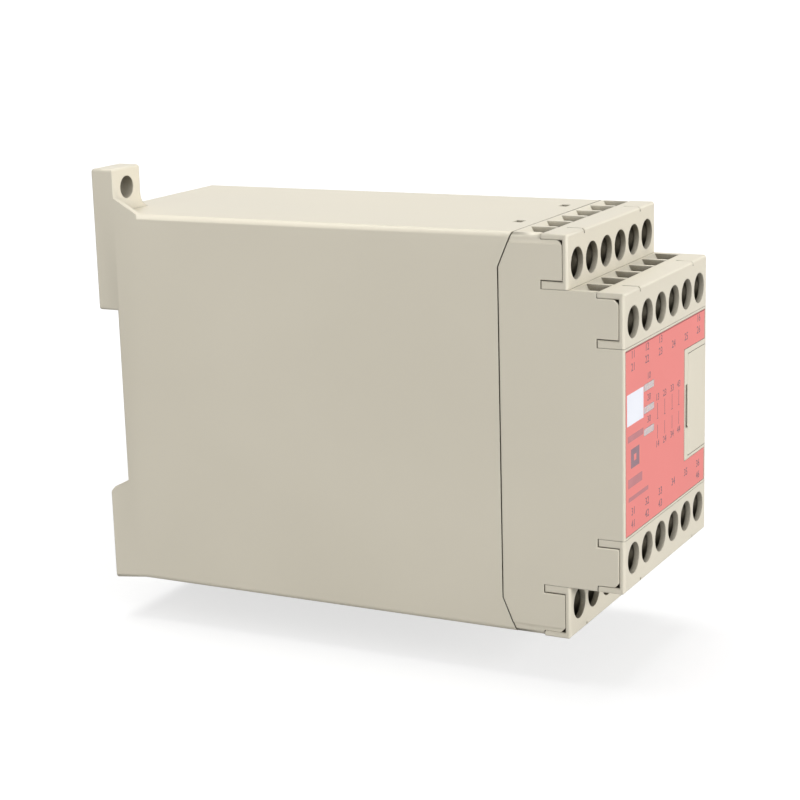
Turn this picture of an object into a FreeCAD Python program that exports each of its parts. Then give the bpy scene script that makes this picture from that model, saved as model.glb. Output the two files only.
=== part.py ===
import FreeCAD, Part
import math
import os
import re
import Sketcher

# Safety relay for machine guarding: a 45 mm wide, deep plastic module that hangs on a 35 mm rail or is
# screwed to a panel by two ears. Millimetres. Seen from the front, X runs to the right, Y runs back into the
# panel and Z runs up. The origin is the middle of the rail seat. Every sub-part is drawn about the
# mid-height of the case, and its Placement then drops it by the rise of the rail above that height.

DIMENSIONS = [
    # case
    ("case_wide", 45.0, "width of the module"),
    ("case_tall", 76.0, "height of the case without ears"),
    ("case_front", 108.8, "front face, ahead of the rail seat"),
    ("cheek_deep", 4.2, "cheeks behind the rail seat"),
    ("wall", 1.8, "wall of the rear case"),
    ("back_wall", 2.0, "wall behind the boards"),
    ("edge_round", 1.0, "rounding of the long edges"),
    ("front_round", 0.45, "rounding of the upright edges of the label face"),
    ("brow_tall", 1.85, "height of the strip set back along the top of the front case's sides"),
    ("brow_deep", 0.15, "depth of that strip"),
    ("split_mid", 84.2, "split line on the sides, ahead of the rail seat"),
    ("split_end", 87.0, "split line on the top and bottom"),
    ("split_knee", 31.5, "height where the split line bends"),
    ("split_gap", 0.25, "gap between the two cases"),
    # rail channel
    ("rail_slot", 35.5, "height of the rail channel"),
    ("rail_rise", 0.5, "middle of the channel above mid-height"),
    ("core_floor", 0.2, "floor of the cored pockets behind the rail seat"),
    ("lip_deep", 3.4, "depth of the sloping lower lip"),
    ("lip_drop", 1.7, "fall of the sloping lower lip"),
    ("flare", 0.8, "flare of the foot at the back"),
    ("flare_deep", 2.8, "start of the flare, ahead of the rail seat"),
    ("hook_gap", 1.3, "room for the rail's flange"),
    ("hook_reach", 1.9, "overlap of the hooks behind the flange"),
    ("hook_lead", 0.9, "lead-in of a hook's tip"),
    ("hook_root", 0.8, "root of a hook below the channel's top"),
    ("hook_wide", 6.0, "width of one hook"),
    ("hook_place", 10.0, "hooks, right and left of the middle"),
    # panel ears
    ("ear_wide", 9.6, "width of an ear"),
    ("ear_rise", 8.8, "ear above the case"),
    ("ear_thick", 4.8, "thickness of an ear"),
    ("ear_fillet", 3.0, "fillet at the foot of an ear"),
    ("ear_round", 0.6, "rounding of an ear's edges"),
    ("ear_hole", 4.5, "screw hole in an ear"),
    ("ear_pitch_wide", 35.0, "screw holes, side to side"),
    ("ear_pitch_tall", 84.0, "screw holes, bottom to top"),
    ("ear_middle", 0.7, "middle of the screw holes above mid-height"),
    ("rib_wide", 1.4, "width of the rib that stiffens an ear"),
    ("rib_rise", 3.0, "height of that rib"),
    ("rib_deep", 5.3, "reach of that rib"),
    # terminal tiers
    ("ways", 6.0, "terminals in one row"),
    ("pitch", 7.2, "pitch of the terminals"),
    ("tier_step", 10.75, "rear tier behind the front tier"),
    ("tier_tall", 10.1, "height of one tier"),
    ("label_half", 17.8, "foot of the front tier"),
    ("screw_level", 4.3, "screws above the foot of their tier"),
    ("bay_wide", 6.1, "width of one terminal bay"),
    ("bay_floor", 1.0, "floor under a terminal bay"),
    ("bay_deep", 10.2, "back of the wire entry behind the tier's face"),
    ("plate_seat", 7.4, "terminal plate behind the tier's face"),
    ("plate_thick", 0.9, "thickness of a terminal plate"),
    ("ramp_drop", 3.5, "fall of the lead-in ramp of a wire entry"),
    ("front_wall", 1.2, "wall of the front case"),
    # terminal covers
    ("cover_thick", 1.1, "wall of a terminal cover"),
    ("cover_deep", 5.2, "depth of a terminal cover"),
    ("cover_gap", 0.12, "gap around a terminal cover"),
    ("cover_round", 0.4, "bevel of a cover's edges"),
    ("driver_hole", 5.9, "screwdriver hole"),
    ("finger_tall", 1.5, "height of a cover's side finger"),
    ("finger_thick", 1.0, "thickness of a cover's side finger"),
    ("slit_place", 14.4, "latch slits, right and left of the middle"),
    ("slit_wide", 0.5, "width of a latch slit"),
    ("slit_long", 3.5, "length of a latch slit"),
    ("slit_down", 0.9, "drop of a latch slit down the face"),
    # terminals
    ("screw_head", 5.4, "diameter of a terminal screw's head"),
    ("head_tall", 2.2, "height of a screw head"),
    ("screw_thread", 3.5, "diameter of a terminal screw's thread"),
    ("slot_wide", 1.0, "width of the driver recess's arms"),
    ("slot_long", 3.9, "length of the driver recess's arms"),
    ("recess_deep", 1.0, "depth of the driver recess"),
    ("washer_tall", 5.6, "height of a clamp washer"),
    ("bore_gap", 0.2, "gap around a screw in its washer"),
    ("tail_end", 80.6, "end of the solder tails, ahead of the rail seat"),
    ("washer_thick", 1.0, "thickness of a clamp washer"),
    ("tail_wide", 1.2, "width of a solder tail"),
    ("tail_thick", 0.8, "thickness of a solder tail"),
    # front: label, lamps and expansion socket
    ("label_deep", 0.2, "recess of the label"),
    ("label_thick", 0.15, "thickness of the label"),
    ("label_left", 21.9, "left edge of the label"),
    ("label_right", 21.6, "right edge of the label"),
    ("label_tall", 34.5, "height of the label"),
    ("rim_left", 9.8, "left edge of the socket's rim"),
    ("rim_top", 11.4, "top edge of the socket's rim"),
    ("rim_bottom", 10.7, "bottom edge of the socket's rim"),
    ("door_left", 11.85, "left edge of the socket cover"),
    ("door_top", 10.35, "top edge of the socket cover"),
    ("door_bottom", 10.1, "bottom edge of the socket cover"),
    ("door_side", 8.0, "reach of the socket cover round the side"),
    ("door_gap", 0.1, "gap around the socket cover"),
    ("lug_place", 3.0, "lugs of the socket cover, from its left edge"),
    ("lug_wide", 3.0, "width of a lug"),
    ("lug_thick", 1.0, "thickness of a lug"),
    ("lug_gap", 0.2, "gap above and below the lugs"),
    ("lug_long", 3.0, "length of a lug"),
    ("pry_tall", 8.4, "height of the slot that the cover is prised off by"),
    ("pry_wide", 1.2, "width of that slot"),
    ("pry_deep", 2.6, "depth of that slot"),
    ("socket_deep", 9.0, "depth of the expansion socket"),
    ("socket_step", 1.0, "ledge around the socket that its cover rests on"),
    ("window_wide", 5.4, "width of a lamp window"),
    ("window_tall", 1.35, "height of a lamp window"),
    ("window_middle", -9.8, "lamp windows, from the middle"),
    ("window_level", 8.6, "upper lamp window above mid-height"),
    ("window_pitch", 4.2, "pitch of the lamp windows"),
    ("guide_thick", 1.2, "thickness of the light guide's plate"),
    ("guide_margin", 1.0, "light guide's plate around its bars"),
    # expansion header
    ("header_left", 14.4, "left face of the header"),
    ("header_wide", 6.0, "width of the header"),
    ("header_tall", 15.0, "height of the header"),
    ("header_deep", 3.3, "depth of the header's shroud"),
    ("header_wall", 0.8, "wall of the shroud"),
    ("header_floor", 1.0, "floor of the shroud"),
    ("pin_thick", 0.6, "thickness of a pin"),
    ("pin_long", 2.0, "length of a pin"),
    ("pin_inset", 2.0, "columns of pins, from the header's sides"),
    ("pin_pitch", 2.7, "pitch of the pins in a column"),
    ("pins", 5.0, "pins in a column"),
    # snap joint between the cases
    ("snap_left", -9.7, "left snap"),
    ("snap_right", 12.3, "right snap"),
    ("snap_wide", 2.4, "width of a snap window"),
    ("snap_long", 1.8, "length of a snap window"),
    ("snap_place", 83.1, "snap windows, ahead of the rail seat"),
    ("tongue_wide", 6.0, "width of a tongue inside the rear case"),
    ("tongue_thick", 1.0, "thickness of a tongue"),
    ("tongue_reach", 2.6, "reach of a tongue past its window"),
    ("wedge_wide", 2.2, "width of the wedge on a tongue"),
    ("wedge_long", 1.6, "length of that wedge"),
    ("wedge_rise", 0.6, "rise of that wedge"),
    # rail clip
    ("clip_wide", 14.0, "width of the rail clip"),
    ("clip_flange", 18.0, "width over the clip's guide flanges"),
    ("clip_front", 0.4, "front face of the clip"),
    ("clip_step", 1.9, "back face of the guide flanges"),
    ("clip_back", 3.9, "back face of the clip"),
    ("clip_gap", 0.2, "sliding gap of the clip"),
    ("clip_end", 41.0, "lower end of the clip"),
    ("clip_travel", 5.0, "travel of the clip"),
    ("clip_round", 1.0, "rounding of the clip's lower corners"),
    ("stop_wide", 4.0, "width of the stop that ends the clip's travel"),
    ("stop_deep", 1.4, "depth of that stop"),
    ("stop_high", 27.2, "upper face of the stop below mid-height"),
    ("stop_low", 29.0, "lower face of the stop below mid-height"),
    ("driver_wide", 6.0, "width of the screwdriver slot in the clip"),
    ("driver_tall", 1.8, "height of that slot"),
    ("driver_place", 1.4, "that slot above the clip's end"),
    # boards
    ("board_thick", 1.6, "thickness of a circuit board"),
    ("board_place", 16.2, "inner face of the side boards"),
    ("board_gap", 0.2, "gap around a circuit board"),
    ("board_back", 0.3, "terminal board behind the split line"),
    ("board_wide", 40.0, "width of the terminal board"),
    ("board_tall", 70.0, "height of the terminal board"),
    ("rib_thick", 1.0, "thickness of the ribs that hold the side boards"),
    ("rib_tall", 1.6, "height of those ribs"),
    ("rib_end", 80.0, "front end of those ribs, ahead of the rail seat"),
    ("lamp_board_back", 4.4, "indicator board behind the front face"),
    ("lamp_board_left", 20.5, "left edge of the indicator board"),
    ("lamp_board_right", 9.0, "right edge of the indicator board"),
    ("lamp_board_tall", 32.0, "height of the indicator board"),
    ("lamp_wide", 3.2, "width of a lamp"),
    ("lamp_tall", 1.6, "height of a lamp"),
    ("lamp_deep", 1.8, "depth of a lamp"),
    ("strip_thick", 2.4, "thickness of a pin strip between two boards"),
    ("strip_tall", 32.0, "height of the side boards' pin strips"),
    ("strip_deep", 6.0, "depth of those strips"),
    ("lamp_strip_left", 16.0, "left end of the indicator board's strip"),
    ("lamp_strip_right", 4.3, "right end of that strip"),
    ("lamp_strip_level", 12.6, "foot of that strip below mid-height"),
    # components: the place is their front end ahead of the rail seat or their middle, the level is
    # their foot or their middle, and the rise is how far they stand off their board
    ("relay_place", 76.0, "front end of the relays"),
    ("relay_long", 40.0, "length of a relay"),
    ("relay_level", 5.0, "relays above and below mid-height"),
    ("relay_tall", 13.0, "width of a relay, up the board"),
    ("relay_rise", 24.0, "top of a relay off its board"),
    ("relay_foot", 0.5, "standing height of a relay"),
    ("relay_feet", 4.0, "pin rows of a relay"),
    ("core_place", 31.0, "front end of the transformer's core"),
    ("core_long", 24.0, "length of the core"),
    ("core_foot", 2.0, "foot of the core off its board"),
    ("core_rise", 22.0, "top of the core off its board"),
    ("core_thick", 12.0, "thickness of the core"),
    ("core_leg", 3.5, "outer legs of the core"),
    ("core_yoke", 4.0, "yokes of the core"),
    ("core_middle", 6.4, "middle leg of the core"),
    ("coil_gap", 0.2, "gap around the transformer's winding"),
    ("coil_tall", 22.0, "height of the winding, up the board"),
    ("coil_wall", 4.8, "thickness of the winding above and below the core"),
    ("foot_long", 3.0, "length of a foot of the coil former"),
    ("foot_tall", 3.5, "height of that foot"),
    ("foot_place", 10.5, "outer end of the feet above and below mid-height"),
    ("input_place", 20.0, "middle of the input capacitor"),
    ("input_level", 24.0, "middle of the input capacitor"),
    ("input_diameter", 16.0, "diameter of the input capacitor"),
    ("input_rise", 22.0, "top of the input capacitor"),
    ("output_place", 20.0, "middle of the output capacitor"),
    ("output_level", -20.0, "middle of the output capacitor"),
    ("output_diameter", 10.0, "diameter of the output capacitor"),
    ("output_rise", 16.0, "top of the output capacitor"),
    ("film_place", 78.0, "front end of the film capacitor"),
    ("film_long", 18.0, "length of the film capacitor"),
    ("film_level", 22.0, "foot of the film capacitor"),
    ("film_tall", 6.5, "width of the film capacitor, up the board"),
    ("film_rise", 11.0, "top of the film capacitor"),
    ("disc_place", 50.0, "middle of the surge varistor"),
    ("disc_level", 24.0, "lower face of the surge varistor"),
    ("disc_thick", 4.0, "thickness of the surge varistor"),
    ("disc_diameter", 11.9, "diameter of the surge varistor"),
    ("fuse_place", 45.0, "front end of the fuse"),
    ("fuse_long", 14.0, "length of the fuse"),
    ("fuse_level", 31.0, "middle of the fuse"),
    ("fuse_diameter", 5.2, "diameter of the fuse"),
    ("fuse_rise", 3.0, "middle of the fuse off its board"),
    ("choke_place", 68.0, "middle of the filter choke"),
    ("choke_level", -27.0, "middle of the filter choke"),
    ("choke_diameter", 14.0, "diameter of the filter choke"),
    ("choke_hole", 6.0, "hole of the filter choke"),
    ("choke_rise", 7.0, "top of the filter choke"),
    ("bridge_place", 52.0, "front end of the bridge rectifier"),
    ("bridge_long", 8.0, "length of the bridge rectifier"),
    ("bridge_level", -32.0, "foot of the bridge rectifier"),
    ("bridge_tall", 10.0, "width of the bridge rectifier, up the board"),
    ("bridge_rise", 8.0, "top of the bridge rectifier"),
    ("switch_place", 36.0, "front end of the switching transistor"),
    ("switch_long", 4.5, "thickness of the switching transistor"),
    ("switch_level", -31.0, "foot of the switching transistor"),
    ("switch_tall", 10.0, "width of the switching transistor, up the board"),
    ("switch_rise", 12.0, "top of the switching transistor"),
    ("opto_place", 74.0, "front end of the first optocoupler"),
    ("opto_long", 4.6, "length of an optocoupler"),
    ("opto_level", -29.0, "foot of the optocouplers"),
    ("opto_tall", 6.5, "width of an optocoupler, up the board"),
    ("opto_rise", 3.6, "top of the optocouplers"),
    ("opto_pitch", 8.0, "pitch of the optocouplers"),
    ("optos", 4.0, "optocouplers in the row"),
    ("chip_place", 26.0, "front end of the monitoring circuits"),
    ("chip_long", 10.0, "length of a monitoring circuit"),
    ("chip_level", 8.0, "monitoring circuits above and below mid-height"),
    ("chip_tall", 6.0, "width of a monitoring circuit, up the board"),
    ("chip_rise", 1.8, "top of a monitoring circuit"),
    ("part_round", 0.9, "rounding of a moulded component"),
]

doc = FreeCAD.newDocument("safety_relay")
sheet = doc.addObject("Spreadsheet::Sheet", "Dims")
for row, (alias, number, meaning) in enumerate(DIMENSIONS, start=1):
    sheet.set(f"A{row}", meaning)
    sheet.set(f"B{row}", str(number))
    sheet.setAlias(f"B{row}", alias)
doc.recompute()

sub_parts = []
AXIS = {"YZ": 1, "XZ": -1, "XY": 1}


def bound(expression):
    """An expression in dimension names, as the document reads it."""
    return re.sub(r"[a-z]\w*", lambda word: "Dims." + word.group(), str(expression))


def value(expression):
    """The number that an expression in dimension names gives."""
    return float(sheet.evalExpression(bound(expression)))


def settle(feature):
    """Recompute, and stop if the feature failed."""
    doc.recompute()
    if {"Invalid", "Error"} & set(feature.State) or feature.Shape.isNull():
        raise RuntimeError(f"{feature.Name} failed: {feature.State}")
    return feature


def new_body(name):
    """A sub-part with its own label, placed from the case's mid-height to the rail's."""
    body = doc.addObject("PartDesign::Body", name)
    body.Label = name
    body.setExpression("Placement.Base.z", bound("-rail_rise"))
    sub_parts.append(body)
    return body


def datum(body, role):
    """One of the body's own origin planes or axes."""
    return next(item for item in body.Origin.OriginFeatures if item.Role == role)


def sketch_at(body, name, plane, level):
    """A sketch on an origin plane of the body, moved along the plane's axis to the level."""
    sketch = body.newObject("Sketcher::SketchObject", f"{body.Name}_{name}_sketch")
    sketch.AttachmentSupport = [(datum(body, plane + "_Plane"), "")]
    sketch.MapMode = "FlatFace"
    sketch.setExpression("AttachmentOffset.Base.z", bound(f"{AXIS[plane]} * ({level})"))
    return sketch


def fix_point(sketch, item, point, place):
    """Hold one point of a sketch at a pair of expressions."""
    for kind, expression in zip(("DistanceX", "DistanceY"), place):
        number = value(expression)
        index = sketch.addConstraint(Sketcher.Constraint(kind, -1, 1, item, point, number))
        sketch.setExpression(f"Constraints[{index}]", bound(expression))


def draw_outline(sketch, corners):
    """A closed outline of straight sides through the corners."""
    points = [FreeCAD.Vector(value(across), value(along), 0) for across, along in corners]
    first = sketch.GeometryCount
    count = len(points)
    for i in range(count):
        sketch.addGeometry(Part.LineSegment(points[i], points[(i + 1) % count]), False)
    for i in range(count):
        following = first + (i + 1) % count
        sketch.addConstraint(Sketcher.Constraint("Coincident", first + i, 2, following, 1))
        fix_point(sketch, first + i, 1, corners[i])


def draw_circle(sketch, centre, diameter):
    """A circle at a pair of expressions."""
    middle = FreeCAD.Vector(value(centre[0]), value(centre[1]), 0)
    item = sketch.addGeometry(Part.Circle(middle, FreeCAD.Vector(0, 0, 1), value(diameter) / 2), False)
    fix_point(sketch, item, 3, centre)
    index = sketch.addConstraint(Sketcher.Constraint("Diameter", item, value(diameter)))
    sketch.setExpression(f"Constraints[{index}]", bound(diameter))


def rectangle(low, high):
    """The corners of a rectangle from its lowest and highest corners."""
    return [low, (high[0], low[1]), high, (low[0], high[1])]


def polygon(centre, diameter, sides):
    """The corners of a regular polygon: a round form that repeats often, with few faces."""
    turns = [2 * math.pi * (corner + 0.5) / sides for corner in range(sides)]
    return [(f"{centre[0]} + ({diameter}) / 2 * {math.cos(turn):.6f}",
             f"{centre[1]} + ({diameter}) / 2 * {math.sin(turn):.6f}") for turn in turns]


def slab(body, name, plane, low, high, *outlines, cut=False):
    """Pad or pocket the outlines between two levels along the plane's axis.

    An outline is a list of corners, or a centre and a diameter."""
    sketch = sketch_at(body, name, plane, f"(({low}) + ({high})) / 2")
    for shape in outlines:
        if isinstance(shape, tuple):
            draw_circle(sketch, *shape)
        else:
            draw_outline(sketch, shape)
    before = body.Shape.Volume if body.Tip else 0.0
    feature = body.newObject("PartDesign::Pocket" if cut else "PartDesign::Pad", f"{body.Name}_{name}")
    feature.Profile = sketch
    feature.setExpression("Length", bound(f"({high}) - ({low})"))
    feature.Midplane = True
    feature.Refine = not cut
    settle(feature)
    if (body.Shape.Volume < before) != cut:
        raise RuntimeError(f"{feature.Name} changed nothing")
    return feature


def cut_slab(body, name, plane, low, high, *outlines):
    """Pocket the outlines between two levels along the plane's axis."""
    return slab(body, name, plane, low, high, *outlines, cut=True)


def set_row(pattern, body, axis, length, count):
    """Let a linear pattern run along an origin axis of the body."""
    pattern.Direction = (datum(body, axis), [""])
    pattern.setExpression("Length", bound(length))
    pattern.setExpression("Occurrences", bound(count))


def repeat(body, features, axis="X_Axis", length="(ways - 1) * pitch", count="ways"):
    """Repeat features along an axis, by default once for each terminal of a row."""
    pattern = body.newObject("PartDesign::LinearPattern", f"{features[-1].Name}_row")
    pattern.Originals = features
    set_row(pattern, body, axis, length, count)
    body.Tip = pattern
    return settle(pattern)


def repeat_up_and_down(body, features, rows=True):
    """Repeat features along the row, or across the middle, and mirror them from the upper to the lower half."""
    both = body.newObject("PartDesign::MultiTransform", f"{features[-1].Name}_rows")
    kind = "LinearPattern" if rows else "Mirrored"
    first = body.newObject(f"PartDesign::{kind}", f"{features[-1].Name}_across")
    if rows:
        set_row(first, body, "X_Axis", "(ways - 1) * pitch", "ways")
    else:
        first.MirrorPlane = (datum(body, "YZ_Plane"), [""])
    second = body.newObject("PartDesign::Mirrored", f"{features[-1].Name}_down")
    second.MirrorPlane = (datum(body, "XY_Plane"), [""])
    both.Originals = features
    both.Transformations = [first, second]
    both.Refine = False
    body.Tip = both
    return settle(both)


def mirror(body, feature, plane="YZ"):
    """Mirror a feature across an origin plane of the body."""
    mirrored = body.newObject("PartDesign::Mirrored", f"{feature.Name}_mirror")
    mirrored.Originals = [feature]
    mirrored.MirrorPlane = (datum(body, plane + "_Plane"), [""])
    body.Tip = mirrored
    return settle(mirrored)


def fillet(body, name, radius, wanted, kind="Fillet"):
    """Round the edges whose middle point passes the test, or bevel them."""
    base = body.Tip
    edges = []
    for number, edge in enumerate(base.Shape.Edges, start=1):
        middle = edge.valueAt((edge.FirstParameter + edge.LastParameter) / 2)
        if wanted(middle, edge):
            edges.append(f"Edge{number}")
    feature = body.newObject(f"PartDesign::{kind}", f"{body.Name}_{name}")
    feature.Base = (base, edges)
    feature.setExpression("Radius" if kind == "Fillet" else "Size", bound(radius))
    return settle(feature)


def in_order(*expressions):
    """The expressions from the lowest value to the highest."""
    return sorted(expressions, key=value)


def near(number, expression):
    """True where a coordinate lies at the place that an expression gives."""
    return abs(number - value(expression)) < 0.01


# ---------------------------------------------------------------------------------------------- places

HALF = "case_wide / 2"
TOP = "case_tall / 2"
FIRST_WAY = "-(ways - 1) / 2 * pitch"
LOW_WINDOW = "(window_level - 2 * window_pitch)"
SCREW_BACK = "(plate_seat - washer_thick - head_tall)"
HOLE_SIDES = 24
TIERS = {
    "rear": {"face": "(case_front - tier_step)", "foot": "(label_half + tier_tall)"},
    "front": {"face": "case_front", "foot": "label_half"},
}
ROWS = [(side, tier) for side in (1, -1) for tier in ("rear", "front")]


def depth(tier, back):
    """Y at a distance behind the face of a tier."""
    return f"-{TIERS[tier]['face']} + {back}"


def level(side, tier, rise):
    """Z at a rise above the foot of a tier: side 1 is the upper row and -1 the lower."""
    return f"{side} * ({TIERS[tier]['foot']} + {rise})"


# ------------------------------------------------------------------------------------------- rear case

NOTCH_TOP = "(rail_rise + rail_slot / 2)"
NOTCH_BOTTOM = "(rail_rise - rail_slot / 2)"


def make_rear_case():
    """Deep moulded box, open at the front, with the rail channel, hooks and two ears behind."""
    body = new_body("rear_case")
    slab(body, "block", "YZ", f"-{HALF}", HALF, [
        ("-split_end", TOP),
        ("cheek_deep", TOP),
        ("cheek_deep", NOTCH_TOP),
        ("0", NOTCH_TOP),
        ("0", NOTCH_BOTTOM),
        ("lip_deep", f"{NOTCH_BOTTOM} - lip_drop"),
        ("cheek_deep", f"{NOTCH_BOTTOM} - lip_drop - cheek_deep + lip_deep"),
        ("cheek_deep", f"-{TOP} - flare"),
        ("-flare_deep", f"-{TOP}"),
        ("-split_end", f"-{TOP}"),
        ("-split_mid", "-split_knee"),
        ("-split_mid", "split_knee"),
    ])
    fillet(body, "long_edges", "edge_round", lambda middle, edge:
           abs(middle.x) > value(HALF) - 0.01 and abs(middle.z) > value(TOP) - 0.01
           and middle.y < value("cheek_deep") - 0.1)
    inner = f"{HALF} - wall"
    height = f"{TOP} - wall"
    cut_slab(body, "cavity", "YZ", f"-({inner})", inner,
             rectangle(("-split_end - wall", f"-({height})"), ("-back_wall", height)))
    for side in (1, -1):
        make_ear(body, side)
    make_rail_side(body)
    make_board_guides(body)
    for name, place in (("left_snap", "snap_left"), ("right_snap", "snap_right")):
        window = rectangle((f"{place} - snap_wide / 2", "-snap_place - snap_long / 2"),
                           (f"{place} + snap_wide / 2", "-snap_place + snap_long / 2"))
        cut_slab(body, name, "XY", f"-{TOP} - 1", f"{TOP} + 1", window)


def make_ear(body, side):
    """One ear: a lug flush with the back, a fillet at its foot, a stiffening rib and a screw hole."""
    word = "upper" if side == 1 else "lower"
    outer = f"-{side} * {HALF}"
    inner = f"-{side} * ({HALF} - ear_wide)"
    root = f"{side} * ({TOP} - wall)"
    tip = f"{side} * ({TOP} + ear_rise)"
    front = "cheek_deep - ear_thick"
    slab(body, f"{word}_ear", "XZ", front, "cheek_deep", rectangle((outer, root), (inner, tip)))
    fillet(body, f"{word}_ear_foot", "ear_fillet", lambda middle, edge:
           near(middle.x, inner) and value(f"{TOP} - 0.1") < side * middle.z < value(f"{TOP} + 1"))
    fillet(body, f"{word}_ear_edges", "ear_round", lambda middle, edge:
           side * middle.z > value(f"{TOP} + ear_rise") - 0.01)
    slab(body, f"{word}_ear_rib", "YZ",
         outer if side == 1 else f"{outer} - rib_wide", f"{outer} + rib_wide" if side == 1 else outer, [
             (f"{front} + 0.5", f"{side} * ({TOP} + rib_rise)"),
             (front, f"{side} * ({TOP} + rib_rise)"),
             (f"{front} - rib_deep", f"{side} * {TOP}"),
             (f"{front} - rib_deep", f"{side} * ({TOP} - edge_round)"),
             (f"{front} + 0.5", f"{side} * ({TOP} - edge_round)"),
         ])
    hole = (f"-{side} * ear_pitch_wide / 2", f"ear_middle + {side} * ear_pitch_tall / 2")
    cut_slab(body, f"{word}_ear_hole", "XZ", "-ear_thick", "cheek_deep + 1", (hole, "ear_hole"))


def make_rail_side(body):
    """Cored back above and below the rail, two fixed hooks, and the channel of the rail clip."""
    ledge = f"{NOTCH_TOP} + wall"
    cheek = f"{HALF} - wall"
    core_high = f"{TOP} - wall"
    rib = "hook_place - wall / 2"
    for name, left, right in (("left", f"-({cheek})", f"-({rib}) - wall"),
                              ("middle", f"-({rib})", rib),
                              ("right", f"{rib} + wall", cheek)):
        cut_slab(body, f"{name}_upper_core", "XZ", "core_floor", "cheek_deep + 1",
                 rectangle((left, ledge), (right, core_high)))
    hook = slab(body, "hook", "YZ", "hook_place - hook_wide / 2", "hook_place + hook_wide / 2", [
        ("hook_gap", f"{NOTCH_TOP} + wall / 2"),
        ("hook_gap", f"{NOTCH_TOP} - hook_reach"),
        ("hook_gap + hook_lead", f"{NOTCH_TOP} - hook_reach - hook_lead / 2"),
        ("cheek_deep", f"{NOTCH_TOP} - hook_root"),
        ("cheek_deep", f"{NOTCH_TOP} + wall / 2"),
    ])
    mirror(body, hook)
    lower_edge = f"{NOTCH_BOTTOM} - lip_drop - wall"
    core_left = "clip_flange / 2 + clip_gap + wall"
    for name, left, right in (("left", f"-({cheek})", f"-({core_left})"), ("right", core_left, cheek)):
        cut_slab(body, f"{name}_lower_core", "XZ", "core_floor", "cheek_deep + 1",
                 rectangle((left, f"-{TOP} + wall"), (right, lower_edge)))
    below = f"-{TOP} - 5"
    cut_slab(body, "clip_guide", "XY", below, f"{NOTCH_BOTTOM} + 1",
             rectangle(("-clip_flange / 2 - clip_gap", "clip_front - clip_gap"),
                       ("clip_flange / 2 + clip_gap", "clip_step + clip_gap")))
    cut_slab(body, "clip_mouth", "XY", below, f"{NOTCH_BOTTOM} + 1",
             rectangle(("-clip_wide / 2 - clip_gap", "clip_step"),
                       ("clip_wide / 2 + clip_gap", "cheek_deep + 1")))
    stop_half = "(stop_wide / 2 + clip_gap)"
    cut_slab(body, "clip_stop", "XY", "-stop_low - clip_gap - clip_travel", "-stop_high + clip_gap",
             rectangle((f"-{stop_half}", "clip_front - stop_deep - clip_gap"), (stop_half, "clip_front")))


def make_board_guides(body):
    """Pairs of ribs along the top and bottom walls that hold the edges of the two side boards."""
    for name, left in (("inner", "board_place - board_gap / 2 - rib_thick"),
                       ("outer", "board_place + board_thick + board_gap / 2")):
        for word, side in (("upper", 1), ("lower", -1)):
            low, high = in_order(f"{side} * ({TOP} - wall - rib_tall)", f"{side} * ({TOP} - wall / 2)")
            guide = slab(body, f"{word}_{name}_guide", "YZ", left, f"{left} + rib_thick",
                         rectangle(("-rib_end", low), ("-back_wall / 2", high)))
            mirror(body, guide)


# ------------------------------------------------------------------------------------------ front case


def make_front_case():
    """Stepped head of the module: two tiers of terminal bays above and below the label face."""
    body = new_body("front_case")
    rear_seat = depth("rear", "cover_thick")
    front_seat = depth("front", "cover_thick")
    rear_foot = TIERS["rear"]["foot"]
    upper = [
        ("-split_mid - split_gap", "split_knee"),
        ("-split_end - split_gap", TOP),
        (rear_seat, TOP),
        (rear_seat, rear_foot),
        (front_seat, rear_foot),
        (front_seat, "label_half"),
        ("-case_front", "label_half"),
    ]
    lower = [(across, f"-({along})") for across, along in reversed(upper)]
    slab(body, "block", "YZ", f"-{HALF}", HALF, upper + lower)
    brow = cut_slab(body, "brow", "YZ", f"{HALF} - brow_deep", f"{HALF} + 1",
                    rectangle((rear_seat, f"{TOP} - brow_tall"), ("-split_mid", f"{TOP} + 1")))
    repeat_up_and_down(body, [brow], rows=False)
    fillet(body, "long_edges", "edge_round", lambda middle, edge:
           near(abs(middle.x), f"{HALF} - brow_deep") and near(abs(middle.z), TOP))
    fillet(body, "front_edges", "front_round", lambda middle, edge:
           near(abs(middle.x), HALF) and near(middle.y, "-case_front"))
    inner = f"{HALF} - front_wall"
    roof = f"{rear_foot} - front_wall"
    shelf = "label_half - front_wall"
    socket_back = "-case_front + socket_deep + front_wall"
    cut_slab(body, "cavity", "YZ", f"-({inner})", inner, [
        ("-split_mid + 1", roof),
        (depth("front", "bay_deep + front_wall"), roof),
        (depth("front", "bay_deep + front_wall"), shelf),
        (socket_back, shelf),
        (socket_back, f"-({shelf})"),
        (depth("front", "bay_deep + front_wall"), f"-({shelf})"),
        (depth("front", "bay_deep + front_wall"), f"-({roof})"),
        ("-split_mid + 1", f"-({roof})"),
    ])
    cut_slab(body, "label_cavity", "XZ", "-case_front + front_wall", f"{socket_back} + 0.5",
             rectangle((f"-({inner})", f"-({shelf})"), ("rim_left - 0.2", shelf)))
    make_snaps(body)
    make_label_face(body)
    make_socket(body)
    for tier in TIERS:
        make_cover_seats(body, tier)
    for tier in TIERS:
        make_bays(body, tier)


def row_name(side, tier):
    """The name of a row, such as upper_rear."""
    return f"{'upper' if side == 1 else 'lower'}_{tier}"


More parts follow.
